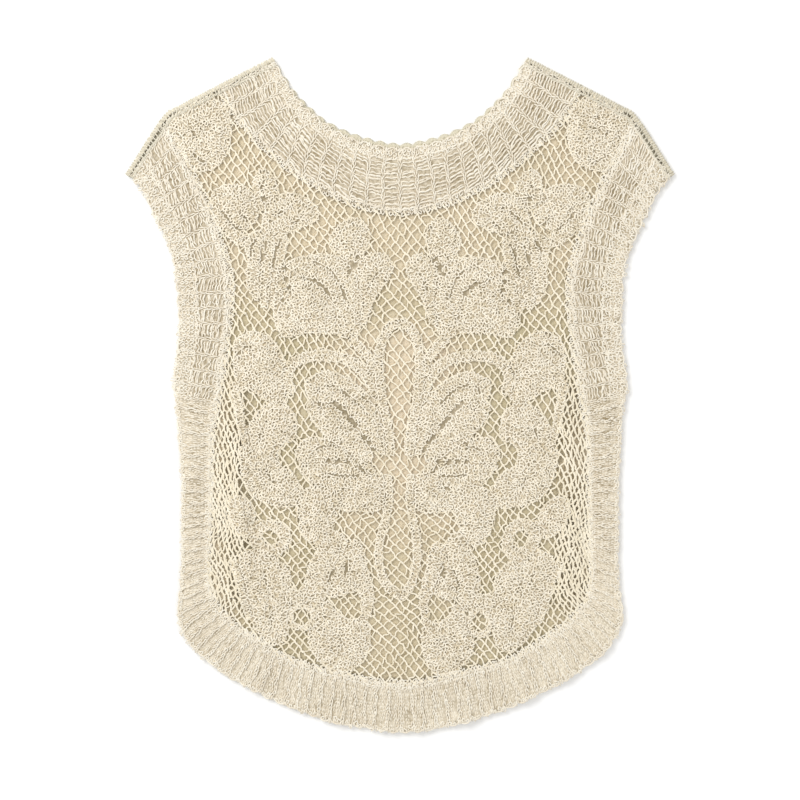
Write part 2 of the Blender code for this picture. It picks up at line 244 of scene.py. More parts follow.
def panel_outline():
    """Outline of the lace panel, all round, millimetres."""
    side = curve(BORDER[:, 2:4], np.linspace(0, HALF_BORDER, 260), True)
    neck = curve(NECK[:, 4:6], np.linspace(0, HALF_NECK, 90), True)
    half = np.vstack([neck[::-1], SHOULDER[::-1], side])
    whole = np.vstack([half, half[::-1] * (-1, 1)])
    return whole + (0.0, Y_SHIFT)


def chart(x, y):
    """Chart units to millimetres."""
    return np.stack([(np.asarray(x, float) - 400) * UNIT,
                     (394.5 - np.asarray(y, float)) * UNIT + Y_SHIFT], axis=-1)


def chart_points(points):
    points = np.asarray(points, float)
    return chart(points[:, 0], points[:, 1])


# ---------------------------------------------------------------------------
# meshes
# ---------------------------------------------------------------------------
class Soup:
    """Vertices and faces collected for one object."""

    def __init__(self, sides=5):
        self.sides = sides
        self.verts, self.quads, self.tris = [], [], []
        self.tone, self.ply = [], []
        self.quad_mats, self.tri_mats = [], []
        self.count = 0

    def tubes(self, pts, radius, tone=None, up=(0, 0, 1), flat=1.0, run0=0.0):
        """k tubes of n points each: pts (k, n, 3), radius (k, n) or a number."""
        pts = np.asarray(pts, float)
        if pts.ndim == 2:
            pts = pts[None]
        k, n, _ = pts.shape
        if k == 0:
            return
        sides = self.sides
        radius = np.broadcast_to(np.asarray(radius, float), (k, n))
        tan = np.empty_like(pts)
        tan[:, 1:-1] = pts[:, 2:] - pts[:, :-2]
        tan[:, 0] = pts[:, 1] - pts[:, 0]
        tan[:, -1] = pts[:, -1] - pts[:, -2]
        tan /= np.maximum(np.linalg.norm(tan, axis=-1, keepdims=True), 1e-9)
        across = np.cross(tan, np.broadcast_to(np.asarray(up, float), tan.shape))
        size = np.linalg.norm(across, axis=-1, keepdims=True)
        across = np.where(size > 1e-3, across / np.maximum(size, 1e-9), (1.0, 0.0, 0.0))
        over = np.cross(across, tan)
        ang = TAU * (np.arange(sides) + (0.25 if sides == 3 else 0.5)) / sides
        ca, sa = np.cos(ang), np.sin(ang)
        ring = (pts[:, :, None, :] + radius[:, :, None, None] * (
            ca[:, None] * across[:, :, None, :] + flat * sa[:, None] * over[:, :, None, :]))
        start = pts[:, 0] - tan[:, 0] * radius[:, :1] * 0.75
        end = pts[:, -1] + tan[:, -1] * radius[:, -1:] * 0.75
        verts = np.concatenate([ring.reshape(k, n * sides, 3), start[:, None], end[:, None]], axis=1)
        per = n * sides + 2
        i = np.arange(n - 1)[:, None] * sides
        j = np.arange(sides)[None]
        nxt = (j + 1) % sides
        quads = np.stack([i + j, i + sides + j, i + sides + nxt, i + nxt], axis=-1).reshape(-1, 4)
        j = np.arange(sides)
        nxt = (j + 1) % sides
        head = np.stack([np.full(sides, n * sides), j, nxt], axis=-1)
        base = (n - 1) * sides
        tail = np.stack([np.full(sides, n * sides + 1), base + nxt, base + j], axis=-1)
        tris = np.concatenate([head, tail])
        shift = self.count + np.arange(k)[:, None, None] * per
        self.quads.append((quads[None] + shift).reshape(-1, 4))
        self.tris.append((tris[None] + shift).reshape(-1, 3))
        self.verts.append(verts.reshape(-1, 3))
        if tone is None:
            tone = rng.random(k)
        tone = np.asarray(tone, float)
        if tone.ndim == 2:
            tone = np.concatenate([np.repeat(tone, sides, axis=1), tone[:, :1], tone[:, -1:]], axis=1)
            self.tone.append(tone.ravel())
        else:
            self.tone.append(np.repeat(np.broadcast_to(tone, (k,)), per))
        run = np.concatenate([np.zeros((k, 1)),
                              np.cumsum(np.linalg.norm(np.diff(pts, axis=1), axis=-1), axis=1)], axis=1)
        run = run + run0 + rng.random((k, 1)) * 9
        ply = np.zeros((k, per, 3))
        ply[:, :n * sides, 0] = np.tile(ca, n)
        ply[:, :n * sides, 1] = np.tile(sa, n)
        ply[:, :n * sides, 2] = np.repeat(run, sides, axis=1)
        ply[:, n * sides, 2] = run[:, 0]
        ply[:, n * sides + 1, 2] = run[:, -1]
        self.ply.append(ply.reshape(-1, 3))
        self.count += k * per

    def shell(self, top, bottom, tone=0.5):
        """Closed shell between two grids (r, c, 3) seen from above alike."""
        r, c, _ = top.shape
        tone = np.broadcast_to(np.asarray(tone, float), (r, c))
        down_row = top[1:, :-1, :2] - top[:-1, :-1, :2]
        along_row = top[:-1, 1:, :2] - top[:-1, :-1, :2]
        if np.sum(down_row[..., 0] * along_row[..., 1] - down_row[..., 1] * along_row[..., 0]) < 0:
            top, bottom, tone = top[:, ::-1], bottom[:, ::-1], tone[:, ::-1]
        a = np.arange(r * c).reshape(r, c) + self.count
        b = a + r * c
        up = np.stack([a[:-1, :-1], a[1:, :-1], a[1:, 1:], a[:-1, 1:]], axis=-1).reshape(-1, 4)
        down = np.stack([b[:-1, :-1], b[:-1, 1:], b[1:, 1:], b[1:, :-1]], axis=-1).reshape(-1, 4)
        loop = np.concatenate([a[0, :], a[1:, -1], a[-1, -2::-1], a[-2:0:-1, 0]])
        nxt = np.roll(loop, -1)
        rim = np.stack([loop, nxt, nxt + r * c, loop + r * c], axis=-1)
        self.quads.append(np.concatenate([up, down, rim]))
        self.verts.append(np.concatenate([top.reshape(-1, 3), bottom.reshape(-1, 3)]))
        self.tone.append(np.concatenate([tone.ravel(), tone.ravel()]))
        self.ply.append(np.concatenate([top.reshape(-1, 3) * (0, 0, 0) + (0, 0, 1),
                                        bottom.reshape(-1, 3) * (0, 0, 0) + (0, 0, -1)]))
        self.count += 2 * r * c

    def triangles(self):
        return 2 * sum(len(q) for q in self.quads) + sum(len(t) for t in self.tris)

    def add(self, other, index):
        """Takes in another soup; its faces get this material index."""
        for quads in other.quads:
            self.quads.append(quads + self.count)
            self.quad_mats.append((len(quads), index))
        for tris in other.tris:
            self.tris.append(tris + self.count)
            self.tri_mats.append((len(tris), index))
        self.verts += other.verts
        self.tone += other.tone
        self.ply += other.ply
        self.count += other.count

    def build(self, name, material, slot):
        verts = np.concatenate(self.verts) * MM
        quads = np.concatenate(self.quads) if self.quads else np.zeros((0, 4), int)
        tris = np.concatenate(self.tris) if self.tris else np.zeros((0, 3), int)
        mesh = bpy.data.meshes.new(name)
        mesh.vertices.add(len(verts))
        mesh.vertices.foreach_set("co", verts.astype(np.float32).ravel())
        loops = np.concatenate([quads.ravel(), tris.ravel()]).astype(np.int32)
        mesh.loops.add(len(loops))
        mesh.loops.foreach_set("vertex_index", loops)
        starts = np.concatenate([np.arange(len(quads)) * 4,
                                 4 * len(quads) + np.arange(len(tris)) * 3]).astype(np.int32)
        mesh.polygons.add(len(starts))
        mesh.polygons.foreach_set("loop_start", starts)
        mesh.update(calc_edges=True)
        tone = mesh.attributes.new("tone", "FLOAT", "POINT")
        tone.data.foreach_set("value", np.concatenate(self.tone).astype(np.float32))
        ply = mesh.attributes.new("ply", "FLOAT_VECTOR", "POINT")
        ply.data.foreach_set("vector", np.concatenate(self.ply).astype(np.float32).ravel())
        mesh.shade_smooth()
        obj = bpy.data.objects.new(name, mesh)
        bpy.context.scene.collection.objects.link(obj)
        for mat in material if isinstance(material, tuple) else (material,):
            mesh.materials.append(mat)
        runs = self.quad_mats + self.tri_mats
        if runs:
            mesh.polygons.foreach_set("material_index", np.concatenate(
                [np.full(n, index) for n, index in runs]).astype(np.int32))
        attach(obj, "root")
        return obj


def uneven(xy, amount=1.0):
    """Wander of hand-made stitches, millimetres."""
    x, y = xy[..., 0], xy[..., 1]
    dx = (0.30 * np.sin(x / 1.9 + y / 3.1 + 0.4) + 0.28 * np.sin(y / 1.7 - x / 2.9 + 2.0)
          + 0.55 * np.sin(x / 8.0 + y / 11.0 + 1.1) + 0.5 * np.sin(y / 19.0 - x / 27.0))
    dy = (0.30 * np.sin(y / 2.1 - x / 3.3 + 1.4) + 0.28 * np.sin(x / 1.6 + y / 2.7)
          + 0.55 * np.sin(y / 9.0 - x / 12.0 + 0.3) + 0.5 * np.sin(x / 21.0 + y / 29.0))
    return xy + amount * np.stack([dx, dy], axis=-1)


def patchy(xy):
    """Slow change between tight and open stitches, 0 to 1."""
    x, y = xy[..., 0], xy[..., 1]
    v = (np.sin(x / 7.5 + y / 12.0 + 0.9) + np.sin(y / 6.5 - x / 11.0 + 2.2)
         + 0.9 * np.sin(x / 3.7 - y / 4.9) + 0.8 * np.sin(x / 25.0 + y / 19.0))
    return np.clip(0.5 + 0.24 * v, 0, 1)


def with_z(xy, z):
    return np.concatenate([xy, np.broadcast_to(z, xy.shape[:-1])[..., None]], axis=-1)


def on_front(xy, height):
    """Points at a height over the underside of the front layer."""
    return with_z(xy, FRONT_Z + rise(xy[..., 0], xy[..., 1]) + height)


# ---------------------------------------------------------------------------
# materials
# ---------------------------------------------------------------------------
def yarn_material(name, light, dark, under=None, bump=0.35, rough=0.78, knit=None, pit_shade=0.0):
    """Matt cotton yarn: tone per yarn, soft patches, plied twist and fuzz.

    knit gives a stitch pitch in metres for a face that has no tubes.
    """
    mat = bpy.data.materials.new(name)
    mat.use_nodes = True
    nt = mat.node_tree
    nt.nodes.clear()
    new, link = nt.nodes.new, nt.links.new
    out = new("ShaderNodeOutputMaterial")
    sh = new("ShaderNodeBsdfPrincipled")
    link(sh.outputs["BSDF"], out.inputs["Surface"])
    sh.inputs["Roughness"].default_value = rough
    sh.inputs["Specular IOR Level"].default_value = 0.28
    sh.inputs["Sheen Weight"].default_value = 0.22
    sh.inputs["Sheen Roughness"].default_value = 0.55
    coord = new("ShaderNodeTexCoord")
    tone = new("ShaderNodeAttribute")
    tone.attribute_name = "tone"
    patch = new("ShaderNodeTexNoise")
    patch.inputs["Scale"].default_value = 26
    patch.inputs["Detail"].default_value = 3
    link(coord.outputs["Object"], patch.inputs["Vector"])
    fibre = new("ShaderNodeTexNoise")
    fibre.inputs["Scale"].default_value = 1500
    fibre.inputs["Detail"].default_value = 2
    link(coord.outputs["Object"], fibre.inputs["Vector"])

    def maths(op, a, b=None, clamp=False):
        node = new("ShaderNodeMath")
        node.operation = op
        node.use_clamp = clamp
        for k, v in enumerate((a, b)):
            if v is None:
                continue
            if isinstance(v, (int, float)):
                node.inputs[k].default_value = v
            else:
                link(v, node.inputs[k])
        return node.outputs[0]

    mixed = maths("ADD", maths("MULTIPLY", tone.outputs["Fac"], 0.5),
                  maths("ADD", maths("MULTIPLY", patch.outputs["Fac"], 0.35),
                        maths("MULTIPLY", fibre.outputs["Fac"], 0.3)))
    # dark specks, painted shade in the pits between stitches
    if pit_shade:
        shade_speck = new("ShaderNodeTexNoise")
        shade_speck.inputs["Scale"].default_value = 300
        shade_speck.inputs["Detail"].default_value = 1
        link(coord.outputs["Object"], shade_speck.inputs["Vector"])
        mixed = maths("ADD", mixed, maths("MULTIPLY", maths("SUBTRACT", shade_speck.outputs["Fac"], 0.5), pit_shade))
    ramp = new("ShaderNodeValToRGB")
    ramp.color_ramp.elements[0].position = 0.2
    ramp.color_ramp.elements[0].color = (*dark, 1)
    ramp.color_ramp.elements[1].position = 0.85
    ramp.color_ramp.elements[1].color = (*light, 1)
    link(mixed, ramp.inputs["Fac"])
    colour = ramp.outputs["Color"]
    ply = new("ShaderNodeAttribute")
    ply.attribute_name = "ply"
    split = new("ShaderNodeSeparateXYZ")
    link(ply.outputs["Vector"], split.inputs["Vector"])
    # shells: the lower face takes the colour under, the upper face the ramp, which on the grounds and the back is
    # darker as painted shade
    if under is not None:
        side = maths("ADD", maths("MULTIPLY", split.outputs["Z"], 0.5), 0.5, True)
        mix = new("ShaderNodeMix")
        mix.data_type = "RGBA"
        link(side, mix.inputs["Factor"])
        link(colour, mix.inputs["B"])
        ramp2 = new("ShaderNodeValToRGB")
        ramp2.color_ramp.elements[0].color = (*[c * 0.86 for c in under], 1)
        ramp2.color_ramp.elements[1].color = (*under, 1)
        link(mixed, ramp2.inputs["Fac"])
        link(ramp2.outputs["Color"], mix.inputs["A"])
        colour = mix.outputs["Result"]
    link(colour, sh.inputs["Base Color"])
    if knit is None:
        phase = maths("MULTIPLY", split.outputs["Z"], TAU / 1.5)
        height = maths("ADD", maths("MULTIPLY", maths("SINE", phase), split.outputs["X"]),
                       maths("MULTIPLY", maths("COSINE", phase), split.outputs["Y"]))
        height = maths("ADD", maths("MULTIPLY", height, 0.5), fibre.outputs["Fac"])
        distance = 0.00022
    else:
        where = new("ShaderNodeSeparateXYZ")
        link(coord.outputs["Object"], where.inputs["Vector"])
        fx = maths("MULTIPLY", where.outputs["X"], TAU / knit)
        slant = maths("ABSOLUTE", maths("SINE", maths("MULTIPLY", fx, 0.5)))
        fy = maths("ADD", maths("MULTIPLY", where.outputs["Y"], TAU / (knit * 0.86)),
                   maths("MULTIPLY", slant, 3.4))
        height = maths("ADD", maths("MULTIPLY", maths("SINE", fy), 0.5),
                       maths("MULTIPLY", maths("COSINE", fx), -0.6))
        height = maths("ADD", height, maths("MULTIPLY", fibre.outputs["Fac"], 0.6))
        distance = 0.0005
    bump_node = new("ShaderNodeBump")
    bump_node.inputs["Strength"].default_value = bump
    bump_node.inputs["Distance"].default_value = distance
    link(height, bump_node.inputs["Height"])
    link(bump_node.outputs["Normal"], sh.inputs["Normal"])
    mat.diffuse_color = (*light, 1)
    return mat


CREAM = (0.93, 0.87, 0.74)
CREAM_DARK = (0.80, 0.71, 0.56)
MAT_RIB = yarn_material("rib_yarn_mat", CREAM, CREAM_DARK)
MAT_LACE = yarn_material("lace_yarn_mat", (0.985, 0.905, 0.745), (0.74, 0.63, 0.43))
MAT_NET = yarn_material("net_yarn_mat", (0.96, 0.88, 0.71), (0.80, 0.70, 0.50))
# the ribs' ground: its upper face dark and specked as painted shade in the gaps between the yarns, its lower face
# the yarn's cream
MAT_BASE = yarn_material("rib_ground_mat", (0.86, 0.78, 0.63), (0.34, 0.27, 0.16),
                         under=(0.82, 0.74, 0.58), bump=0.5, knit=0.0033, pit_shade=0.9)
# the ground under the lace stitches: its upper face dark as painted shade in the gaps between the loops, its lower
# face the yarn's cream
MAT_GROUND = yarn_material("lace_ground_mat", (0.72, 0.63, 0.48), (0.24, 0.19, 0.10),
                           under=(0.82, 0.74, 0.58), bump=0.5, knit=0.0031)
# yarns over the back's shoulder roll: a darker, greyer cream, painted shade
MAT_ROLL = yarn_material("roll_yarn_mat", (0.78, 0.73, 0.60), (0.62, 0.57, 0.44))
# the back: its upper face, seen through the net, darker and more olive as painted shade under the front layer, its
# lower face the yarn's cream
MAT_BACK = yarn_material("back_knit_mat", (0.78, 0.675, 0.515), (0.50, 0.45, 0.27),
                         under=(0.86, 0.79, 0.63), bump=0.5, knit=0.0034)
# the back's bands: upper face darker as painted shade under the front bands, lower face the yarn's cream
MAT_BACK_RIB = yarn_material("back_rib_mat", (0.76, 0.71, 0.56), (0.64, 0.58, 0.42),
                             under=(0.86, 0.79, 0.63), bump=0.6, knit=0.0033)

# ---------------------------------------------------------------------------
# camera, light and floor
# ---------------------------------------------------------------------------
cam_data = bpy.data.cameras.new("camera")
cam_data.lens = 85
cam_data.sensor_width = 36
cam_data.clip_start = 0.05
cam_data.clip_end = 20
cam = bpy.data.objects.new("camera", cam_data)
cam.location = (0.0, -0.00504, 1.667)
bpy.context.scene.collection.objects.link(cam)
bpy.context.scene.camera = cam


def area_light(name, location, target, size, power, colour=(1, 1, 1)):
    data = bpy.data.lights.new(name, "AREA")
    data.shape = "DISK"
    data.size = size
    data.energy = power
    data.color = colour
    obj = bpy.data.objects.new(name, data)
    obj.location = location
    from mathutils import Vector
    obj.rotation_euler = (Vector(target) - Vector(location)).to_track_quat("-Z", "Y").to_euler()
    bpy.context.scene.collection.objects.link(obj)
    return obj


area_light("key", (-1.25, 1.05, 1.75), (0, 0, 0), 1.5, 29)
area_light("fill", (1.4, -0.9, 1.9), (0, 0, 0), 1.6, 9)
world = bpy.data.worlds.new("studio")
world.use_nodes = True
world.node_tree.nodes["Background"].inputs["Color"].default_value = (1.0, 1.0, 1.0, 1)
world.node_tree.nodes["Background"].inputs["Strength"].default_value = 0.72
bpy.context.scene.world = world
bpy.context.scene.view_settings.view_transform = "Standard"
bpy.context.scene.view_settings.look = "None"

floor_mesh = bpy.data.meshes.new("floor")
floor_mesh.from_pydata([(-4, -4, -0.0004), (4, -4, -0.0004), (4, 4, -0.0004), (-4, 4, -0.0004)],
                       [], [(0, 1, 2, 3)])
floor = bpy.data.objects.new("floor", floor_mesh)
bpy.context.scene.collection.objects.link(floor)
floor_mat = bpy.data.materials.new("floor_mat")
floor_mat.use_nodes = True
floor_shader = floor_mat.node_tree.nodes["Principled BSDF"]
floor_shader.inputs["Roughness"].default_value = 0.95
floor_shader.inputs["Specular IOR Level"].default_value = 0.1
floor_noise = floor_mat.node_tree.nodes.new("ShaderNodeTexNoise")
floor_noise.inputs["Scale"].default_value = 6
floor_ramp = floor_mat.node_tree.nodes.new("ShaderNodeValToRGB")
floor_ramp.color_ramp.elements[0].color = (0.97, 0.97, 0.965, 1)
floor_ramp.color_ramp.elements[1].color = (0.99, 0.99, 0.985, 1)
floor_mat.node_tree.links.new(floor_noise.outputs["Fac"], floor_ramp.inputs["Fac"])
floor_mat.node_tree.links.new(floor_ramp.outputs["Color"], floor_shader.inputs["Base Color"])
floor_mesh.materials.append(floor_mat)


# ---------------------------------------------------------------------------
# ribbed bands
# ---------------------------------------------------------------------------
def stations(plan, s0, s1, pitch, side):
    """Rib positions at a pitch along the middle of a band, whole periods."""
    s = np.linspace(s0, s1, 1200)
    mid = plan(s, np.full_like(s, 0.55), side)
    run = np.concatenate([[0], np.cumsum(np.hypot(*np.diff(mid, axis=0).T))])
    count = max(int(round(run[-1] / pitch)), 1)
    return np.interp(np.linspace(0, run[-1], count + 1), run, s)


def along(plan, s, w, side):
    """Unit vector along a band at (s, w)."""
    a = plan(s - 0.02, w, side)
    b = plan(s + 0.02, w, side)
    d = b - a
    return d / np.linalg.norm(d, axis=-1, keepdims=True)


def band_width(plan, s, side):
    a = plan(np.array([s]), np.array([0.0]), side)[0]
    b = plan(np.array([s]), np.array([1.0]), side)[0]
    return float(np.hypot(*(b - a)))


def v_column(soup, plan, s, side, width, pitch, spread, radius, height, w0=0.0, w1=1.0, lean=0.0,
             wave=0.0, zigzag=0.0):
    """One knitted wale: pairs of V legs from the seam to the free edge."""
    rows = max(int(round(width * (w1 - w0) / pitch)), 2)
    w = w0 + (w1 - w0) * (np.arange(rows)) / rows
    dw = (w1 - w0) / rows
    sway = 0.30 * np.sin(w * 9 + rng.random() * 6) + rng.normal(0, 0.20, rows)
    sway = sway + wave * np.sin(w * (14 + 6 * rng.random()) + rng.random() * 6) + rng.normal(0, 0.4 * wave, rows)
    sway = sway + zigzag * np.where(np.arange(rows) % 2 == 0, 1, -1) * rng.uniform(0.5, 1.3, rows)
    for hand in (-1, 1):
        pts = []
        for at, off, z in ((-0.14, 0.40, -0.50), (0.42, 0.92, 0.15), (1.05, 1.28, -0.30)):
            ww = w + dw * at
            xy = plan(np.full(rows, s), ww, side)
            e = along(plan, np.full(rows, s), ww, side)
            shift = hand * spread * off + sway + lean * (w + dw * at) + rng.normal(0, 0.12, rows)
            pts.append(on_front(uneven(xy + e * shift[:, None]), height + z + rng.normal(0, 0.08, rows)))
        pts = np.stack(pts, axis=1)
        rad = radius * np.array([0.72, 1.08, 0.78])[None] * (1 + rng.normal(0, 0.09, (rows, 1)))
        soup.tubes(pts, rad, tone=rng.random(rows))


def rungs(soup, plan, s0, s1, side, width, pitch, inset, radius, height, humps=2, w0=0.02, w1=0.97,
          tilt=0.0, closed_from=0.74, open_from=0.14, ragged=0.0):
    """Purl bumps between two wales: one wavy yarn for each row."""
    mid = plan(np.array([s0, s1]), np.array([0.5, 0.5]), side)
    gap = float(np.hypot(*(mid[1] - mid[0])))
    rows = max(int(round(width * (w1 - w0) / pitch)), 2)
    w = w0 + (w1 - w0) * (np.arange(rows) + 0.5) / rows
    n = 7 if humps > 1 else 5
    u = np.linspace(0, 1, n)
    local = inset / gap
    tilt = tilt + rng.normal(0.0, 0.35)
    ss = s0 + (s1 - s0) * (local + (1 - 2 * local) * u)
    hump = np.abs(np.sin(math.pi * humps * u))
    pts = np.empty((rows, n, 3))
    shift = rng.normal(0, 0.34, rows)
    twist = rng.normal(0, 1.1, rows)
    slide = rng.normal(0, 0.03, rows) * (s1 - s0)
    deep = rng.normal(0, 0.2, rows)
    for k in range(n):
        ww = w + ((0.42 * hump[k] + shift) * 0.42 + (tilt + twist * 0.3) * (u[k] - 0.5)) * pitch / width
        xy = plan(ss[k] + slide, ww, side) + rng.normal(0, 0.2 + ragged, (rows, 2))
        pts[:, k] = on_front(uneven(xy), height - 0.35 + 0.62 * hump[k] + deep + rng.normal(0, 0.1, rows))
    shut = np.maximum(np.clip((w - closed_from) / 0.06, 0, 1), np.clip((open_from - w) / 0.06, 0, 1))
    slack = np.clip((patchy(pts[:, n // 2, :2]) - 0.55) * 2.2, 0, 1)
    full = 1 + 0.36 * np.maximum(shut, slack)
    rad = radius * (0.68 + 0.42 * hump)[None] * full[:, None] * (1 + rng.normal(0, 0.10, (rows, 1)))
    soup.tubes(pts, rad, tone=rng.random(rows))


def arches(soup, plan, s0, s1, side, width, height, radius, reach, count=2, lift=0.0):
    """Scalloped free edge: nested arches over one period."""
    n = 7
    u = np.linspace(0, 1, n)
    reach = reach * rng.uniform(0.75, 1.15)
    for k in range(count):
        span = 0.94 - 0.22 * k
        ss = 0.5 * (s0 + s1) + (s1 - s0) * (u - 0.5) * span
        ww = 1.0 + (reach * (np.sin(math.pi * u) - 0.72) - 1.9 * k * (1 + 0.2 * np.sin(math.pi * u))) / width
        xy = uneven(plan(ss, ww, side))
        pts = on_front(xy, height + lift - 0.15 * k)
        soup.tubes(pts[None], radius * (1 + 0.12 * np.sin(math.pi * u))[None], tone=rng.random(1))


def braid(soup, xy, height, radius, pitch=6.2, swing=0.85, tone=None, surface=None, closed=False):
    """Chain-stitch braid along a plan curve: two yarns laid over each other."""
    run = np.concatenate([[0], np.cumsum(np.hypot(*np.diff(xy, axis=0).T))])
    length = run[-1]
    if length < 3:
        return
    count = max(int(round(length / 0.82)), 4)
    at = np.linspace(0, length, count + 1)
    line = np.stack([np.interp(at, run, xy[:, k]) for k in range(2)], axis=1)
    tan = np.gradient(line, axis=0)
    tan /= np.maximum(np.linalg.norm(tan, axis=1, keepdims=True), 1e-9)
    nrm = np.stack([-tan[:, 1], tan[:, 0]], axis=1)
    phase0 = rng.random() * TAU
    wobble = 0.25 * np.sin(at / 7 + phase0)
    for hand in (0, math.pi):
        ph = TAU * at / pitch + hand + phase0
        off = swing * np.sin(ph) + wobble
        z = height + 0.42 * np.cos(ph)
        rad = radius * (1 + 0.10 * np.cos(ph))
        pts = (surface or on_front)(line + nrm * off[:, None], z)
        soup.tubes(pts[None], rad[None], tone=rng.random(1) if tone is None else tone)


def band_base(soup, plan, edges, thick, scallop, rows=7, per=6, tones=None):
    """Ground of a band: one closed shell over both halves, its free edge scalloped.  Its tone per station, from
    tones, is painted shade in the gaps between the ribs, lighter near the seam and the free edge.
    """
    halves, runs = [], []
    w = np.concatenate([[-0.03], np.linspace(0, 1, rows)[1:]])
    for side in (-1, 1):
        grid_s, grid_u = [], []
        for a, b in zip(edges[side], edges[side][1:]):
            u = np.arange(per) / per
            grid_s.append(a + (b - a) * u)
            grid_u.append(u)
        grid_s = np.concatenate(grid_s + [[edges[side][-1]]])
        grid_u = np.concatenate(grid_u + [[0.0]])
        width = np.array([band_width(plan, s, side) for s in grid_s])
        edge = 1.0 + (scallop * (np.sin(math.pi * grid_u) - 0.8) - 0.5) / width
        ss = np.repeat(grid_s[None], rows, axis=0)
        halves.append(plan(ss, w[:, None] * edge[None], side))
        runs.append(grid_s)
    xy = np.concatenate([halves[0], halves[1][:, -2::-1]], axis=1)
    grid_s = np.concatenate([runs[0], runs[1][-2::-1]])
    top = on_front(xy, 0.1 + thick * (0.35 + 0.65 * np.clip(w / 0.14, 0, 1))[:, None])
    bottom = on_front(xy, 0.05)
    # painted shade between the ribs: darkness per station, eased near the seam and the free edge
    deep = np.interp(grid_s, *tones)[None] + 0 * w[:, None]
    pale = np.maximum(np.clip((w - 0.72) / 0.14, 0, 1), np.clip((0.16 - w) / 0.1, 0, 1))[:, None]
    soup.shell(top, bottom, deep + (0.62 - deep) * pale)


def pairs(values):
    return list(zip(values, values[1:]))


# front border ---------------------------------------------------------------
FINE_FROM = 9.6
border_base = Soup()
border_soups = {}
front_edges = {}
for side in (-1, 1):
    soup = Soup(4)
    border_soups[side] = soup
    coarse = stations(border_plan, 0.12, FINE_FROM, 13.4, side)
    hem = stations(border_plan, FINE_FROM, 24.0, 10.1, side)
    for n, s in enumerate(coarse):
        width = band_width(border_plan, s, side)
        v_column(soup, border_plan, s, side, width, 3.15, 0.95, 0.72, 1.90, zigzag=0.38)
    for a, b in pairs(coarse):
        width = band_width(border_plan, (a + b) / 2, side)
        rungs(soup, border_plan, a, b, side, width, 2.60, 1.3, 0.82, 1.70, tilt=0.5, w1=0.68,
              closed_from=0.62, ragged=0.24)
    for a, b in pairs(hem):
        width = band_width(border_plan, (a + b) / 2, side)
        for k, f in enumerate((0.0, 0.333, 0.667)):
            if a == hem[0] and k == 0:
                continue
            v_column(soup, border_plan, a + (b - a) * f, side, width, 3.0,
                     0.88, (0.86, 0.62, 0.68)[k], (2.15, 1.20, 1.45)[k], lean=rng.normal(0, 0.8), wave=0.55,
                     zigzag=0.35 if a < 14 else 0.1)
    if side == 1:
        v_column(soup, border_plan, 24.0, side, band_width(border_plan, 24.0, side), 3.0, 0.92, 0.80, 1.75)
    for a, b in pairs(np.concatenate([coarse, hem[1:]])):
        width = band_width(border_plan, (a + b) / 2, side)
        arches(soup, border_plan, a, b, side, width, 1.4, 0.76, 2.4, count=1)
    front_edges[side] = np.concatenate([coarse, hem[1:]])
# ground tones per station: how dark the painted shade between the ribs is
band_base(border_base, border_plan, front_edges, 1.35, 2.2, rows=9,
          tones=((0, 1.5, 8.5, 9.8, 13, 15, 24), (0.33, 0.15, 0.19, 0.22, 0.36, 0.58, 0.42)))

border_base_obj = border_base.build("front_border_ground", MAT_BASE, "rib_yarn")

# front neck band --------------------------------------------------------------
neck_base = Soup()
neck_soup = Soup(4)
front_ribs = {}
for side in (-1, 1):
    ribs = stations(neck_plan, 0.06, 7.0, 14.1, side)
    for s in ribs[:-1]:
        width = band_width(neck_plan, s, side)
        v_column(neck_soup, neck_ribs, s, side, width, 3.1, 0.98, 0.80, 1.95, zigzag=0.42)
    if side == 1:
        v_column(neck_soup, neck_ribs, 7.0, side, band_width(neck_plan, 7.0, side), 3.1, 0.98, 0.80, 1.95,
                 zigzag=0.42)
    for a, b in pairs(ribs):
        width = band_width(neck_plan, (a + b) / 2, side)
        slope = np.interp((a + b) / 2, (0.0, 2.0, 4.0, 6.0, 7.0), (0.4, 1.0, 0.8, 0.4, 0.0))
        pitch = np.interp((a + b) / 2, (0, 2.5, 5, 7), (2.6, 2.8, 3.25, 3.3))
        rungs(neck_soup, neck_ribs, a, b, side, width, pitch, 1.3, 0.88, 1.70, tilt=-slope, w1=0.86,
              closed_from=0.80)
        arches(neck_soup, neck_ribs, a, b, side, width, 1.5, 0.78, 3.0, count=1)
    front_ribs[side] = ribs
# ground tones per station: how dark the painted shade between the ribs is
band_base(neck_base, neck_ribs, front_ribs, 1.35, 3.0, rows=10, per=8,
          tones=((0, 1.2, 2.2, 4.8, 5.8, 7), (0.22, 0.12, 0.10, 0.15, 0.28, 0.38)))
neck_base_obj = neck_base.build("front_neck_ground", MAT_BASE, "rib_yarn")

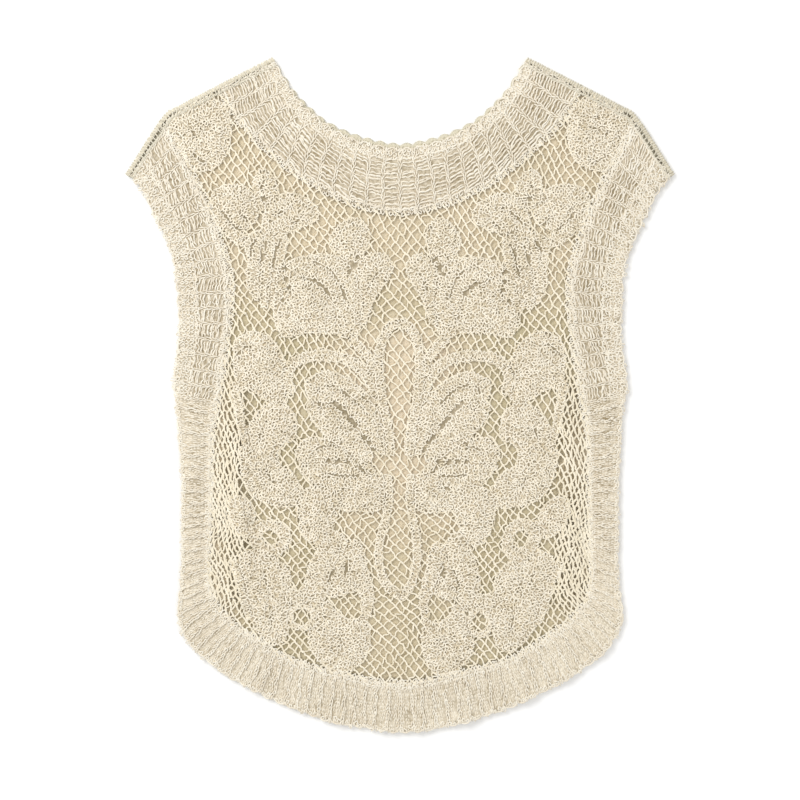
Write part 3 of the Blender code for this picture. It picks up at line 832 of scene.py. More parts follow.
# ---------------------------------------------------------------------------
# lace chart, left half in chart units
# ---------------------------------------------------------------------------
# dense crochet areas: outlines that overlap and are worked as one piece each
AREAS = (
    ("shoulder", ((160, 121), (168, 112), (182, 106), (196, 100), (207, 96), (216, 99), (224, 104),
                  (230, 114), (232, 128), (230, 144), (226, 157), (217, 167), (205, 171), (193, 171),
                  (186, 162), (174, 146), (164, 132))),
    ("spray_a", ((210, 204), (212, 192), (222, 185), (234, 184), (246, 187), (254, 196), (259, 208),
                 (258, 219), (250, 227), (240, 229), (231, 221), (221, 213))),
    ("spray_b", ((209, 212), (216, 209), (224, 215), (233, 226), (243, 233), (254, 236), (250, 245),
                 (238, 245), (228, 238), (219, 229), (213, 219))),
    ("spray_c", ((253, 186), (255, 175), (261, 169), (269, 171), (276, 180), (278, 194), (275, 206),
                 (267, 212), (259, 208), (254, 198))),
    ("spray_d", ((266, 206), (274, 198), (285, 193), (298, 194), (311, 201), (319, 210), (317, 221),
                 (307, 226), (298, 230), (288, 232), (274, 233), (262, 228))),
    ("spray_e", ((243, 240), (254, 232), (264, 230), (267, 240), (264, 256), (262, 272), (260, 288),
                 (260, 303), (252, 298), (247, 282), (247, 262))),
    ("spray_f", ((262, 240), (270, 230), (279, 230), (278, 246), (275, 262), (274, 280), (273, 298),
                 (266, 309), (259, 303), (259, 284), (261, 262))),
    ("spray_g", ((275, 236), (281, 231), (287, 235), (287, 247), (285, 259), (287, 272), (285, 288),
                 (279, 303), (270, 308), (270, 292), (273, 272), (275, 254))),
    ("crown_top", ((346, 220), (355, 217), (365, 223), (371, 235), (367, 248), (360, 259), (351, 270),
                   (339, 262), (333, 250), (329, 239), (337, 227))),
    ("crown_left", ((284, 266), (292, 259), (304, 256), (321, 254), (338, 257), (352, 267), (361, 284),
                    (364, 304), (362, 326), (353, 338), (338, 334), (334, 316), (331, 298), (322, 285),
                    (308, 279), (290, 274))),
    ("crown_low", ((278, 270), (290, 270), (305, 277), (318, 285), (330, 297), (336, 316), (338, 333),
                   (320, 333), (302, 334), (285, 338), (275, 325), (273, 306), (275, 286))),
    ("crown_right", ((357, 268), (364, 257), (377, 252), (389, 257), (393, 269), (387, 281), (379, 293),
                     (372, 306), (367, 322), (360, 322), (361, 302), (358, 284))),
    ("wing_top", ((305, 384), (314, 375), (328, 371), (345, 376), (359, 385), (371, 398), (379, 416),
                  (384, 436), (384, 454), (374, 452), (365, 438), (356, 425), (345, 412), (334, 403),
                  (320, 404), (308, 398))),
    ("wing_mid", ((306, 404), (320, 402), (333, 405), (344, 415), (355, 428), (365, 440), (373, 454),
                  (370, 463), (356, 458), (342, 448), (328, 442), (322, 433), (313, 422))),
    ("wing_fold", ((295, 453), (302, 441), (314, 437), (328, 441), (343, 449), (357, 459), (371, 464),
                   (377, 478), (364, 476), (349, 465), (330, 464), (314, 465), (301, 464))),
    ("wing_low", ((297, 466), (312, 463), (332, 463), (350, 464), (368, 473), (384, 474), (389, 488),
                  (387, 503), (375, 512), (355, 511), (340, 509), (322, 492), (309, 480))),
    ("wing_tail", ((304, 489), (317, 484), (333, 490), (342, 500), (339, 512), (334, 524), (328, 538),
                   (317, 545), (305, 539), (298, 524), (297, 508), (299, 495))),
    ("side_top", ((233, 354), (236, 341), (245, 333), (257, 331), (270, 338), (279, 348), (285, 361),
                  (289, 377), (289, 392), (283, 404), (271, 402), (261, 397), (249, 389), (240, 390),
                  (235, 380), (233, 367))),
    ("side_low", ((246, 430), (255, 415), (266, 405), (281, 402), (293, 413), (297, 428), (294, 440),
                  (284, 444), (278, 454), (281, 466), (291, 471), (299, 482), (300, 496), (293, 507),
                  (276, 506), (259, 501), (247, 489), (241, 471), (240, 451))),
    ("foot_out", ((240, 556), (250, 550), (264, 552), (278, 559), (289, 571), (292, 588), (292, 606),
                  (290, 624), (284, 641), (271, 646), (259, 635), (249, 617), (243, 598), (239, 578))),
    ("foot_a", ((322, 541), (333, 530), (345, 537), (346, 552), (341, 566), (334, 580), (327, 594),
                (318, 606), (308, 603), (304, 590), (306, 574), (313, 556))),
    ("foot_b", ((345, 550), (355, 539), (364, 549), (367, 566), (372, 582), (374, 600), (369, 619),
                (361, 618), (362, 602), (357, 590), (350, 580), (342, 568))),
    ("foot_c", ((335, 578), (344, 566), (353, 580), (357, 590), (346, 594), (333, 597), (327, 592))),
    ("foot_d", ((316, 612), (329, 600), (337, 612), (350, 619), (364, 618), (371, 632), (369, 650),
                (360, 665), (345, 672), (328, 669), (315, 657), (308, 641), (310, 624))),
    ("stem_leaf", ((228, 506), (236, 495), (248, 500), (254, 510), (256, 524), (249, 537), (238, 533),
                   (230, 520))),
)
# cords: middle line and full width
CORDS = (
    ("arc", ((291, 394), (287, 380), (290, 368), (299, 360), (312, 356), (331, 356), (348, 360),
             (362, 370), (373, 386), (379, 402)), 11.0),
    ("strut", ((350, 338), (362, 350), (372, 362), (377, 378)), 9.5),
    ("oval", ((400, 322), (389, 328), (382, 341), (379, 356), (379, 374), (381, 393), (385, 414),
              (389, 434), (390, 456)), 9.5),
    ("pod", ((388, 474), (389, 500), (385, 520), (380, 540), (379, 560), (383, 578), (391, 591),
             (400, 595)), 8.5),
    ("side_link", ((232, 382), (238, 402), (241, 424), (247, 446)), 8.5),
    ("eye_stalk", ((249, 530), (258, 524), (268, 524)), 8.0),
    ("foot_link", ((286, 593), (298, 598), (308, 594)), 15.0),
    ("foot_side", ((233, 560), (240, 580), (244, 600), (250, 620)), 7.5),
)
# rings: centre, inner and outer radius
RINGS = (
    ("eye_out", (270.5, 538), 8.6, 21.0),
    ("eye_low", (302, 617), 9.2, 15.5),
)
# lines where two rows of stitches part, the ground beneath painted dark as shade: points and width
SLITS = (
    (((193, 154), (199, 159), (205, 162)), 1.7), (((168, 117), (165, 124)), 2.0),
    (((191, 131), (196, 137)), 1.8), (((199, 126), (203, 131)), 1.4),
    (((224, 212), (231, 223), (240, 230), (248, 232)), 1.6), (((243, 216), (252, 225)), 1.5),
    (((290, 207), (282, 211), (275, 216), (269, 223)), 1.7), (((299, 220), (290, 227)), 1.5),
    (((257, 238), (251, 249), (252, 258)), 2.0), (((267, 242), (264, 252), (263, 261)), 1.6),
    (((281, 240), (276, 250), (274, 260), (272, 273)), 2.0),
    (((314, 262), (324, 266), (333, 273), (340, 284), (346, 301)), 1.7),
    (((378, 272), (372, 281), (368, 290)), 1.5), (((315, 394), (321, 386)), 1.4),
    (((329, 385), (337, 388), (345, 393), (359, 405)), 1.8), (((363, 396), (368, 402)), 1.4),
    (((316, 450), (323, 447), (331, 446)), 2.0), (((328, 474), (344, 476), (359, 475)), 1.5),
    (((342, 490), (351, 487)), 1.5), (((355, 460), (365, 472)), 1.4),
    (((249, 344), (242, 350), (237, 356)), 1.6), (((335, 568), (331, 575), (327, 583)), 2.0),
    (((348, 560), (346, 568), (345, 576)), 1.6), (((317, 402), (323, 411)), 1.3),
    (((263, 574), (269, 590)), 1.3), (((270, 612), (272, 626)), 1.3), (((338, 634), (343, 646)), 1.3),
    (((262, 428), (259, 442)), 1.3), (((266, 468), (272, 484)), 1.3),
)
# small openings between stitches, the ground beneath painted dark as shade: x, y, radius
HOLES = (
    (264, 199, 2.8), (262, 187, 2.1), (358, 257, 2.6), (353.5, 264.5, 2.8), (349.5, 271.5, 2.4),
    (315, 281, 2.2), (321, 285, 2.6), (327, 291, 2.6), (335, 402, 2.0), (339.5, 407, 2.5),
    (344.5, 412.5, 2.9), (350, 419, 2.9), (355.5, 425, 3.0), (364, 437, 2.6), (369.5, 442, 2.6),
    (374, 449, 2.4), (329, 461, 2.4), (338.5, 461, 2.7), (348, 461.5, 2.6), (285, 268, 2.4),
    (286, 279, 2.7), (289, 288, 2.7), (283, 300, 2.4), (297, 520, 2.0), (176, 143, 1.5),
    (181, 137, 1.5), (169, 130, 1.4), (278, 332, 1.6),
)


# ---------------------------------------------------------------------------
# chart maps
# ---------------------------------------------------------------------------
GRID_X0, GRID_Y0, GRID_STEP = 145.0, 80.0, 0.5
GRID_W, GRID_H = 1020, 1210
gx = GRID_X0 + (np.arange(GRID_W) + 0.5) * GRID_STEP
gy = GRID_Y0 + (np.arange(GRID_H) + 0.5) * GRID_STEP


def pulled(points, side):
    """The +X half is the mirror image, pulled a little towards the centre."""
    points = np.asarray(points, float)
    if side < 0:
        return points
    x, y = points[..., 0], points[..., 1]
    pull = np.interp(y, (90, 170, 250, 340, 420, 520, 600, 680), (0, 6, 11, 5, 3, 8, 18, 19))
    across = np.clip((x - 212) / 188.0, 0, 1)
    bell = np.sin(math.pi * across ** 0.9)
    drop = np.interp(y, (200, 270, 330, 420, 560, 620), (0, 4, 0, 0, 2, 6)) * bell
    return np.stack([800 - (x + pull * bell), y + drop], axis=-1)


def inside(poly, x, y):
    """Even-odd test of points against a closed polygon."""
    hit = np.zeros(np.broadcast(x, y).shape, bool)
    px, py = poly[:, 0], poly[:, 1]
    qx, qy = np.roll(px, -1), np.roll(py, -1)
    for ax, ay, bx, by in zip(px, py, qx, qy):
        if ay == by:
            continue
        cross = (ay > y) != (by > y)
        hit ^= cross & (x < (bx - ax) * (y - ay) / (by - ay) + ax)
    return hit


def paint(grid, poly, value):
    """Sets a polygon, in chart units, on a map."""
    c0 = max(int((poly[:, 0].min() - GRID_X0) / GRID_STEP) - 1, 0)
    c1 = min(int((poly[:, 0].max() - GRID_X0) / GRID_STEP) + 2, GRID_W)
    r0 = max(int((poly[:, 1].min() - GRID_Y0) / GRID_STEP) - 1, 0)
    r1 = min(int((poly[:, 1].max() - GRID_Y0) / GRID_STEP) + 2, GRID_H)
    if c1 > c0 and r1 > r0:
        hit = inside(poly, gx[None, c0:c1], gy[r0:r1, None])
        grid[r0:r1, c0:c1][hit] = value


def dab(grid, points, radius, value):
    """Sets discs along points, in chart units, on a map."""
    for x, y in points:
        c0 = max(int((x - radius - GRID_X0) / GRID_STEP) - 1, 0)
        c1 = min(int((x + radius - GRID_X0) / GRID_STEP) + 2, GRID_W)
        r0 = max(int((y - radius - GRID_Y0) / GRID_STEP) - 1, 0)
        r1 = min(int((y + radius - GRID_Y0) / GRID_STEP) + 2, GRID_H)
        hit = (gx[None, c0:c1] - x) ** 2 + (gy[r0:r1, None] - y) ** 2 < radius * radius
        grid[r0:r1, c0:c1][hit] = value


def to_chart(xy):
    return np.stack([xy[..., 0] / UNIT + 400, 394.5 - (xy[..., 1] - Y_SHIFT) / UNIT], axis=-1)


def looked_up(grid, xy, outside=False):
    """Value of a chart map at points in millimetres."""
    c = to_chart(xy)
    i = ((c[..., 0] - GRID_X0) / GRID_STEP).astype(int)
    j = ((c[..., 1] - GRID_Y0) / GRID_STEP).astype(int)
    ok = (i >= 0) & (i < GRID_W) & (j >= 0) & (j < GRID_H)
    out = grid[np.clip(j, 0, GRID_H - 1), np.clip(i, 0, GRID_W - 1)]
    return np.where(ok, out, outside)


def distance_in(mask, reach=44):
    """Distance in cells from each marked cell to the nearest unmarked one."""
    big = 1e4
    g = np.where(mask, big, 0.0)
    for j in range(1, g.shape[0]):
        g[j] = np.minimum(g[j], g[j - 1] + 1)
    for j in range(g.shape[0] - 2, -1, -1):
        g[j] = np.minimum(g[j], g[j + 1] + 1)
    g2 = np.minimum(g, 200.0) ** 2
    best = g2.copy()
    for dx in range(1, reach + 1):
        best[:, dx:] = np.minimum(best[:, dx:], g2[:, :-dx] + dx * dx)
        best[:, :-dx] = np.minimum(best[:, :-dx], g2[:, dx:] + dx * dx)
    return np.sqrt(best)


def softened(field, times=1):
    for _ in range(times):
        field = (np.roll(field, 1, 0) + np.roll(field, -1, 0) + np.roll(field, 1, 1)
                 + np.roll(field, -1, 1) + 4 * field) / 8
    return field


def shrink(mask, cells):
    return distance_in(mask, int(cells) + 2) > cells


def grow(mask, cells):
    return ~shrink(~mask, cells)


def contours(field, level):
    """Lines of equal value on a map, each as chart points, and if it closes."""
    f = field - level
    s = f > 0
    h, w = f.shape
    hx = s[:, :-1] != s[:, 1:]
    vx = s[:-1] != s[1:]
    cell = hx[:-1].astype(int) + hx[1:] + vx[:, :-1] + vx[:, 1:]
    jj, ii = np.nonzero(cell > 0)
    if len(jj) == 0:
        return []
    vbase = h * w
    ids = np.stack([jj * w + ii, (jj + 1) * w + ii, vbase + jj * w + ii, vbase + jj * w + ii + 1], axis=1)
    on = np.stack([hx[jj, ii], hx[jj + 1, ii], vx[jj, ii], vx[jj, ii + 1]], axis=1)
    two = on.sum(1) == 2
    order = np.argsort(~on[two], axis=1, kind="stable")[:, :2]
    segs = [np.take_along_axis(ids[two], order, axis=1)]
    four = on.sum(1) == 4
    if four.any():
        segs.append(ids[four][:, [0, 2]])
        segs.append(ids[four][:, [1, 3]])
    segs = np.concatenate(segs)
    nodes, flat = np.unique(segs.ravel(), return_inverse=True)
    flat = flat.reshape(-1, 2)
    links = [[] for _ in range(len(nodes))]
    for a, b in flat.tolist():
        links[a].append(b)
        links[b].append(a)
    vert = nodes >= vbase
    k = np.where(vert, nodes - vbase, nodes)
    kj, ki = k // w, k % w
    kj2, ki2 = np.where(vert, kj + 1, kj), np.where(vert, ki, ki + 1)
    fa, fb = f[kj, ki], f[kj2, ki2]
    t = fa / (fa - fb)
    px = GRID_X0 + (ki + (ki2 - ki) * t + 0.5) * GRID_STEP
    py = GRID_Y0 + (kj + (kj2 - kj) * t + 0.5) * GRID_STEP
    seen = np.zeros(len(nodes), bool)
    out = []
    for start in range(len(nodes)):
        if seen[start]:
            continue
        path = [start]
        seen[start] = True
        here = start
        while True:
            ahead = [n for n in links[here] if not seen[n]]
            if not ahead:
                break
            here = ahead[0]
            seen[here] = True
            path.append(here)
        closed = len(path) > 3 and start in links[path[-1]]
        if len(path) > 6:
            out.append((np.stack([px[path], py[path]], axis=1), closed))
    return out


def even_line(line, closed, step):
    """Points every step along a line, smoothed a little."""
    if closed:
        ring = np.vstack([line[-3:], line, line[:3]])
        for _ in range(2):
            ring[1:-1] = (ring[:-2] + 2 * ring[1:-1] + ring[2:]) / 4
        line = np.vstack([ring[3:-3], ring[3:4]])
    run = np.concatenate([[0], np.cumsum(np.hypot(*np.diff(line, axis=0).T))])
    count = max(int(round(run[-1] / step)), 1)
    at = np.linspace(0, run[-1], count + 1)
    return np.stack([np.interp(at, run, line[:, k]) for k in range(2)], axis=1), run[-1]


OUTLINE = panel_outline()
in_panel = np.zeros((GRID_H, GRID_W), bool)
in_panel[:] = inside(to_chart(OUTLINE), gx[None], gy[:, None])

label = np.zeros((GRID_H, GRID_W), np.int32)
number = 0
hollow = np.zeros_like(in_panel)
for side in (-1, 1):
    for name, outline in AREAS:
        number += 1
        paint(label, pulled(dense(outline, 1.5, closed=True), side), number)
    for name, path, width in CORDS:
        number += 1
        mid = pulled(dense(path, 1.2), side)
        tan = np.gradient(mid, axis=0)
        tan /= np.linalg.norm(tan, axis=1, keepdims=True)
        nrm = np.stack([-tan[:, 1], tan[:, 0]], axis=1) * width / 2
        paint(label, np.vstack([mid - nrm, (mid + nrm)[::-1]]), number)
    for name, centre, r_in, r_out in RINGS:
        number += 1
        a = np.linspace(0, TAU, 48, endpoint=False)
        circle = np.stack([np.cos(a), np.sin(a)], axis=1)
        squash = (1.0, 0.88) if side < 0 else (0.86, 1.0)
        paint(label, pulled(np.asarray(centre) + circle * r_out * squash, side), number)
        paint(hollow, pulled(np.asarray(centre) + circle * r_in * squash, side), True)
label[hollow] = 0
solid = label > 0
# narrow gaps between neighbouring areas are worked over
merged = shrink(grow(solid, 3.6), 3.6) & ~hollow & in_panel
for _ in range(9):
    empty = merged & (label == 0)
    for shift, axis in ((1, 0), (-1, 0), (1, 1), (-1, 1)):
        moved = np.roll(label, shift, axis)
        label = np.where(empty & (label == 0), moved, label)
solid = merged & (label > 0)
label[~solid] = 0
cover = solid.copy()
slit_shade_map = np.zeros_like(solid)
hole_map = np.zeros_like(solid)
for side in (-1, 1):
    for points, width in SLITS:
        for spot in pulled(dense(points, 1.25), side):
            if rng.random() < 0.72:
                size = width / 2 * (0.6 + 0.6 * rng.random()) + 0.1
                dab(solid, (spot + rng.normal(0, 0.3, 2),), size, False)
                dab(slit_shade_map, (spot,), size + 0.9, True)
    for x, y, r in HOLES:
        dab(solid, pulled(((x, y),), side), r + 0.15, False)
        dab(slit_shade_map, pulled(((x, y),), side), r + 0.9, True)
        dab(hole_map, pulled(((x, y),), side), r + 1.3, True)
seam_lines = np.zeros_like(solid)
for shift, axis in ((1, 0), (1, 1)):
    other = np.roll(label, shift, axis)
    seam_lines |= (other != label) & (other > 0) & (label > 0)
depth = softened(distance_in(solid & ~seam_lines), 2) * GRID_STEP
edge_depth = softened(distance_in(merged), 2) * GRID_STEP
grad_y, grad_x = np.gradient(softened(depth, 3))


# ---------------------------------------------------------------------------
# dense stitches
# ---------------------------------------------------------------------------
lace_soups = {-1: Soup(3), 1: Soup(3)}
ROW = 4.9
filled = np.zeros((GRID_H, GRID_W), bool)


def loops_at(points, inward, scale=1.27, height=1.55, mark=True, soups=None):
    """Small crochet loops: points in chart units, inward unit vectors."""
    k = len(points)
    if k == 0:
        return
    turn = rng.normal(0, 0.50, k)
    ca, sa = np.cos(turn), np.sin(turn)
    out = -np.stack([inward[:, 0] * ca - inward[:, 1] * sa, inward[:, 0] * sa + inward[:, 1] * ca], axis=1)
    tan = np.stack([-out[:, 1], out[:, 0]], axis=1)
    size = scale * (1 + rng.normal(0, 0.10, k))
    shape = ((-0.55, -1.85, -0.5), (-1.30, -0.10, 0.15), (0.05, 1.62, 0.42), (1.30, 0.0, 0.2), (0.45, -1.95, -0.55))
    lop = rng.normal(0, 0.28, (k, len(shape), 2))
    pts = np.empty((k, len(shape), 3))
    here = chart(points[:, 0], points[:, 1])
    lift = rng.normal(0, 0.16, k)
    flip = (1.0, -1.0)
    for n, (a, b, z) in enumerate(shape):
        xy = here + ((a + lop[:, n, 0]) * size)[:, None] * tan * flip + ((b + lop[:, n, 1]) * size)[:, None] * out * flip
        pts[:, n] = on_front(xy, height + z + lift)
    rad = 0.80 * np.array([0.82, 1.05, 1.08, 1.05, 0.82])[None] * (1 + rng.normal(0, 0.08, (k, 1)))
    left = here[:, 0] < 0
    # loop tone: random per loop, with the ends, where they dip into the ground, darker as painted shade and the
    # crown lighter as painted highlight
    tone = rng.normal(0.80, 0.25, (k, 1)) + np.array((-0.6, 0.0, 0.2, 0.0, -0.6))[None]
    for side, sel in ((-1, left), (1, ~left)):
        (soups or lace_soups)[side].tubes(pts[sel], rad[sel], tone=tone[sel])
    if not mark:
        return
    ci = ((points[:, 0] - GRID_X0) / GRID_STEP).astype(int)
    cj = ((points[:, 1] - GRID_Y0) / GRID_STEP).astype(int)
    for a, b in zip(cj.tolist(), ci.tolist()):
        filled[a - 6:a + 7, b - 6:b + 7] |= disc


yy, xx = np.mgrid[-6:7, -6:7]
disc = (yy ** 2 + xx ** 2) <= 30


def inward_at(points):
    i = np.clip(((points[:, 0] - GRID_X0) / GRID_STEP).astype(int), 0, GRID_W - 1)
    j = np.clip(((points[:, 1] - GRID_Y0) / GRID_STEP).astype(int), 0, GRID_H - 1)
    g = np.stack([grad_x[j, i], grad_y[j, i]], axis=1)
    size = np.linalg.norm(g, axis=1, keepdims=True)
    spin = rng.random(len(points)) * TAU
    return np.where(size > 0.02, g / np.maximum(size, 1e-6), np.stack([np.cos(spin), np.sin(spin)], axis=1))


for row in range(7):
    level = 2.25 + row * ROW
    for line, closed in contours(depth, level):
        pts, run = even_line(line, closed, 3.9)
        if closed:
            pts = pts[:-1]
        if len(pts) < 2:
            continue
        pts = pts + rng.normal(0, 0.28, pts.shape)
        loops_at(pts, inward_at(pts))
# stitches that fill the middles and narrow places
left_over = (depth > 1.15) & ~filled
cand = np.argwhere(left_over)
rng.shuffle(cand)
picked = []
for j, i in cand.tolist():
    if not filled[j, i]:
        picked.append((GRID_X0 + (i + 0.5) * GRID_STEP, GRID_Y0 + (j + 0.5) * GRID_STEP))
        filled[j - 6:j + 7, i - 6:i + 7] |= disc
picked = np.array(picked)
loops_at(picked, inward_at(picked), scale=1.05, height=1.45)

# rows of loops where the bands meet the lace, and along the free edges
neck_soups = {-1: neck_soup, 1: neck_soup}


def loop_row(plan, first, last, side, w_row, height, step=3.7, soups=None, scale=1.16, period=9.0, swell=0.0):
    s = np.linspace(first, last, 900)
    mid = plan(s, np.full_like(s, w_row), side)
    run = np.concatenate([[0], np.cumsum(np.hypot(*np.diff(mid, axis=0).T))])
    at = np.arange(rng.random() * 2, run[-1], step)
    at = at + rng.normal(0, 0.4, len(at))
    ss = np.interp(at, run, s)
    lump = np.sin(TAU * at / period + rng.random() * 6) + 0.5 * np.sin(TAU * at / (period * 2.7) + rng.random() * 6)
    ww = w_row + swell * lump + rng.normal(0, 0.008, len(ss))
    here = plan(ss, ww, side)
    ahead = plan(ss, ww + 0.05, side)
    way = to_chart(ahead) - to_chart(here)
    way = way / np.linalg.norm(way, axis=1, keepdims=True)
    loops_at(to_chart(here), way, scale=scale, height=height, mark=False, soups=soups)


for side in (-1, 1):
    for w_row in (-0.03, 0.035, 0.10):
        loop_row(border_plan, 0.04, 24.0, side, w_row, 1.15 + 4.0 * max(w_row, 0.0), soups=border_soups)
    for w_row in (0.66, 0.74, 0.82, 0.90):
        loop_row(border_plan, 0.10, FINE_FROM, side, w_row, 1.55, soups=border_soups, scale=1.2)
    loop_row(border_plan, 0.10, FINE_FROM, side, 0.965, 1.45, soups=border_soups, scale=1.2, period=8.0, swell=0.03)
    loop_row(border_plan, FINE_FROM, 24.0, side, 0.96, 1.45, soups=border_soups, scale=1.1, period=9.0, swell=0.03)
    for w_row in (-0.03, 0.04):
        loop_row(neck_plan, 0.04, 7.0, side, w_row, 1.15 + 4.0 * max(w_row, 0.0), soups=neck_soups)
    for w_row in (0.85, 0.91, 0.97):
        loop_row(neck_plan, 0.06, 7.0, side, w_row, 1.5, soups=neck_soups, scale=1.1, period=7.0,
                 swell=0.02 if w_row > 0.95 else 0.0)
border_left = border_soups[-1].build("front_border_stitches_left", MAT_RIB, "rib_yarn")
border_right = border_soups[1].build("front_border_stitches_right", MAT_RIB, "rib_yarn")
neck_obj = neck_soup.build("front_neck_stitches", MAT_RIB, "rib_yarn")

# a wandering yarn along the edges that meet the net
for line, closed in contours(edge_depth, 1.05):
    pts, run = even_line(line, closed, 1.5)
    pts = pts + rng.normal(0, 0.45, pts.shape)
    xy = uneven(chart(pts[:, 0], pts[:, 1]))
    ok = looked_up(in_panel, xy)
    for side in (-1, 1):
        good = ok & ((xy[:, 0] < 0) == (side < 0))
        start = None
        for i, g in enumerate(list(good) + [False]):
            if g and start is None:
                start = i
            elif not g and start is not None:
                if i - start > 4:
                    part = xy[start:i]
                    wave = 0.35 * np.sin(np.arange(len(part)) * 2.1 + rng.random() * 6)
                    lace_soups[side].tubes(on_front(part, 1.2 + wave)[None],
                                           (0.74 * (1 + 0.2 * np.sin(np.arange(len(part)) * 2.9)))[None],
                                           tone=rng.random(1))
                start = None

# the ground under the dense stitches, cut from the cover map in small tiles
ground = Soup(4)
tile = 6
blocks = cover[:GRID_H // tile * tile, :GRID_W // tile * tile]
share = blocks.reshape(GRID_H // tile, tile, GRID_W // tile, tile).mean(axis=(1, 3))
full = share > 0.6
for _ in range(3):
    crossed = ((full[:-1, :-1] & full[1:, 1:] & ~full[:-1, 1:] & ~full[1:, :-1])
               | (~full[:-1, :-1] & ~full[1:, 1:] & full[:-1, 1:] & full[1:, :-1]))
    full[:-1, :-1] |= crossed
    full[1:, :-1] |= crossed
rows_n, cols_n = full.shape
corner_used = np.zeros((rows_n + 1, cols_n + 1), bool)
corner_used[:-1, :-1] |= full
corner_used[1:, :-1] |= full
corner_used[:-1, 1:] |= full
corner_used[1:, 1:] |= full
index = np.full((rows_n + 1, cols_n + 1), -1)
index[corner_used] = np.arange(corner_used.sum())
jj, ii = np.nonzero(corner_used)
corner_chart = np.stack([GRID_X0 + ii * tile * GRID_STEP, GRID_Y0 + jj * tile * GRID_STEP], axis=1)
# corners on the rim slide towards their filled neighbours, which rounds the steps
pad = np.pad(full, 1).astype(float)
cells = [pad[jj + a, ii + b] for a in (0, 1) for b in (0, 1)]
offs = [((b - 0.5) * tile * GRID_STEP, (a - 0.5) * tile * GRID_STEP) for a in (0, 1) for b in (0, 1)]
weight = sum(cells)
for k in range(2):
    pull = sum(c * o[k] for c, o in zip(cells, offs)) / np.maximum(weight, 1)
    corner_chart[:, k] += np.where(weight < 4, pull * 0.55, 0)
corner_mm = chart(corner_chart[:, 0], corner_chart[:, 1])
top = on_front(corner_mm, 1.05)
bottom = on_front(corner_mm, 0.35)
rj, ri = np.nonzero(full)
a = index[rj, ri]
b = index[rj + 1, ri]
c = index[rj + 1, ri + 1]
d = index[rj, ri + 1]
count = len(corner_mm)
quads = [np.stack([a, b, c, d], axis=1), np.stack([a, d, c, b], axis=1) + count]
padded = np.pad(full, 1)
for (dj, di), (p, q) in (((0, -1), (a, b)), ((1, 0), (b, c)), ((0, 1), (c, d)), ((-1, 0), (d, a))):
    open_side = ~padded[rj + 1 + dj, ri + 1 + di]
    quads.append(np.stack([q[open_side], p[open_side], p[open_side] + count, q[open_side] + count], axis=1))
ground.verts = [np.concatenate([top, bottom])]
ground.quads = quads
# ground tone: random dark spots as painted shade in the pits between loops, darkest under the slits and holes as
# painted shade
pit_shade = np.where(rng.random(count) < 0.30, rng.random(count) * 0.3, 0.7 + 0.5 * rng.random(count))
ci = np.clip(((corner_chart[:, 0] - GRID_X0) / GRID_STEP).astype(int), 0, GRID_W - 1)
cj = np.clip(((corner_chart[:, 1] - GRID_Y0) / GRID_STEP).astype(int), 0, GRID_H - 1)
pit_shade = np.where(slit_shade_map[cj, ci], 0.1, pit_shade)
ground.tone = [np.concatenate([pit_shade, pit_shade])]
ground.ply = [np.tile((0.0, 0.0, 1.0), (2 * count, 1))]
ground.count = 2 * count

# ---------------------------------------------------------------------------
# net
# ---------------------------------------------------------------------------
net = Soup(4)
keep_out = shrink(cover, 4) | hole_map
net_area = grow(in_panel, 5)


def warp(x, y):
    """Uneven pull of the net, chart units."""
    dx = 1.5 * np.sin(x / 23.0 + y / 41.0) + 1.1 * np.sin(y / 17.0 - x / 37.0 + 1.3)
    dy = 1.4 * np.sin(x / 29.0 - y / 19.0 + 0.7) + 1.0 * np.sin(x / 13.0 + y / 31.0 + 2.1)
    return dx, dy


E_DOWN = np.array((5.5, 6.9))
E_UP = np.array((5.3, -6.0))
LAT = 75
ia, jb = np.meshgrid(np.arange(-LAT, LAT + 1), np.arange(-LAT, LAT + 1), indexing="ij")
node_x = 400 + ia * E_DOWN[0] + jb * E_UP[0]
node_y = 394 + ia * E_DOWN[1] + jb * E_UP[1]
def squeezed(x, y):
    """The net is drawn together towards the sides, most at waist and hip."""
    away = np.abs(x - 400)
    left = np.interp(y, (300, 360, 420, 460, 535, 552, 575, 590, 620, 650),
                     (0.0, 0.32, 0.45, 0.56, 0.56, 0.45, 0.48, 0.52, 0.42, 0.0))
    right = np.interp(y, (300, 360, 420, 530, 610, 650), (0.0, 0.32, 0.40, 0.58, 0.50, 0.0))
    much = np.where(x < 400, left, right)
    start = np.interp(y, (300, 430, 470, 520, 560, 620), (158, 158, 164, 160, 154, 150))
    x = 400 + (x - 400) * np.interp(y, (470, 620), (1.0, 0.92))
    return (400 + np.sign(x - 400) * np.where(away > start, start + (away - start) * (1 - much), away),
            np.where(away > start, much, 0.0))


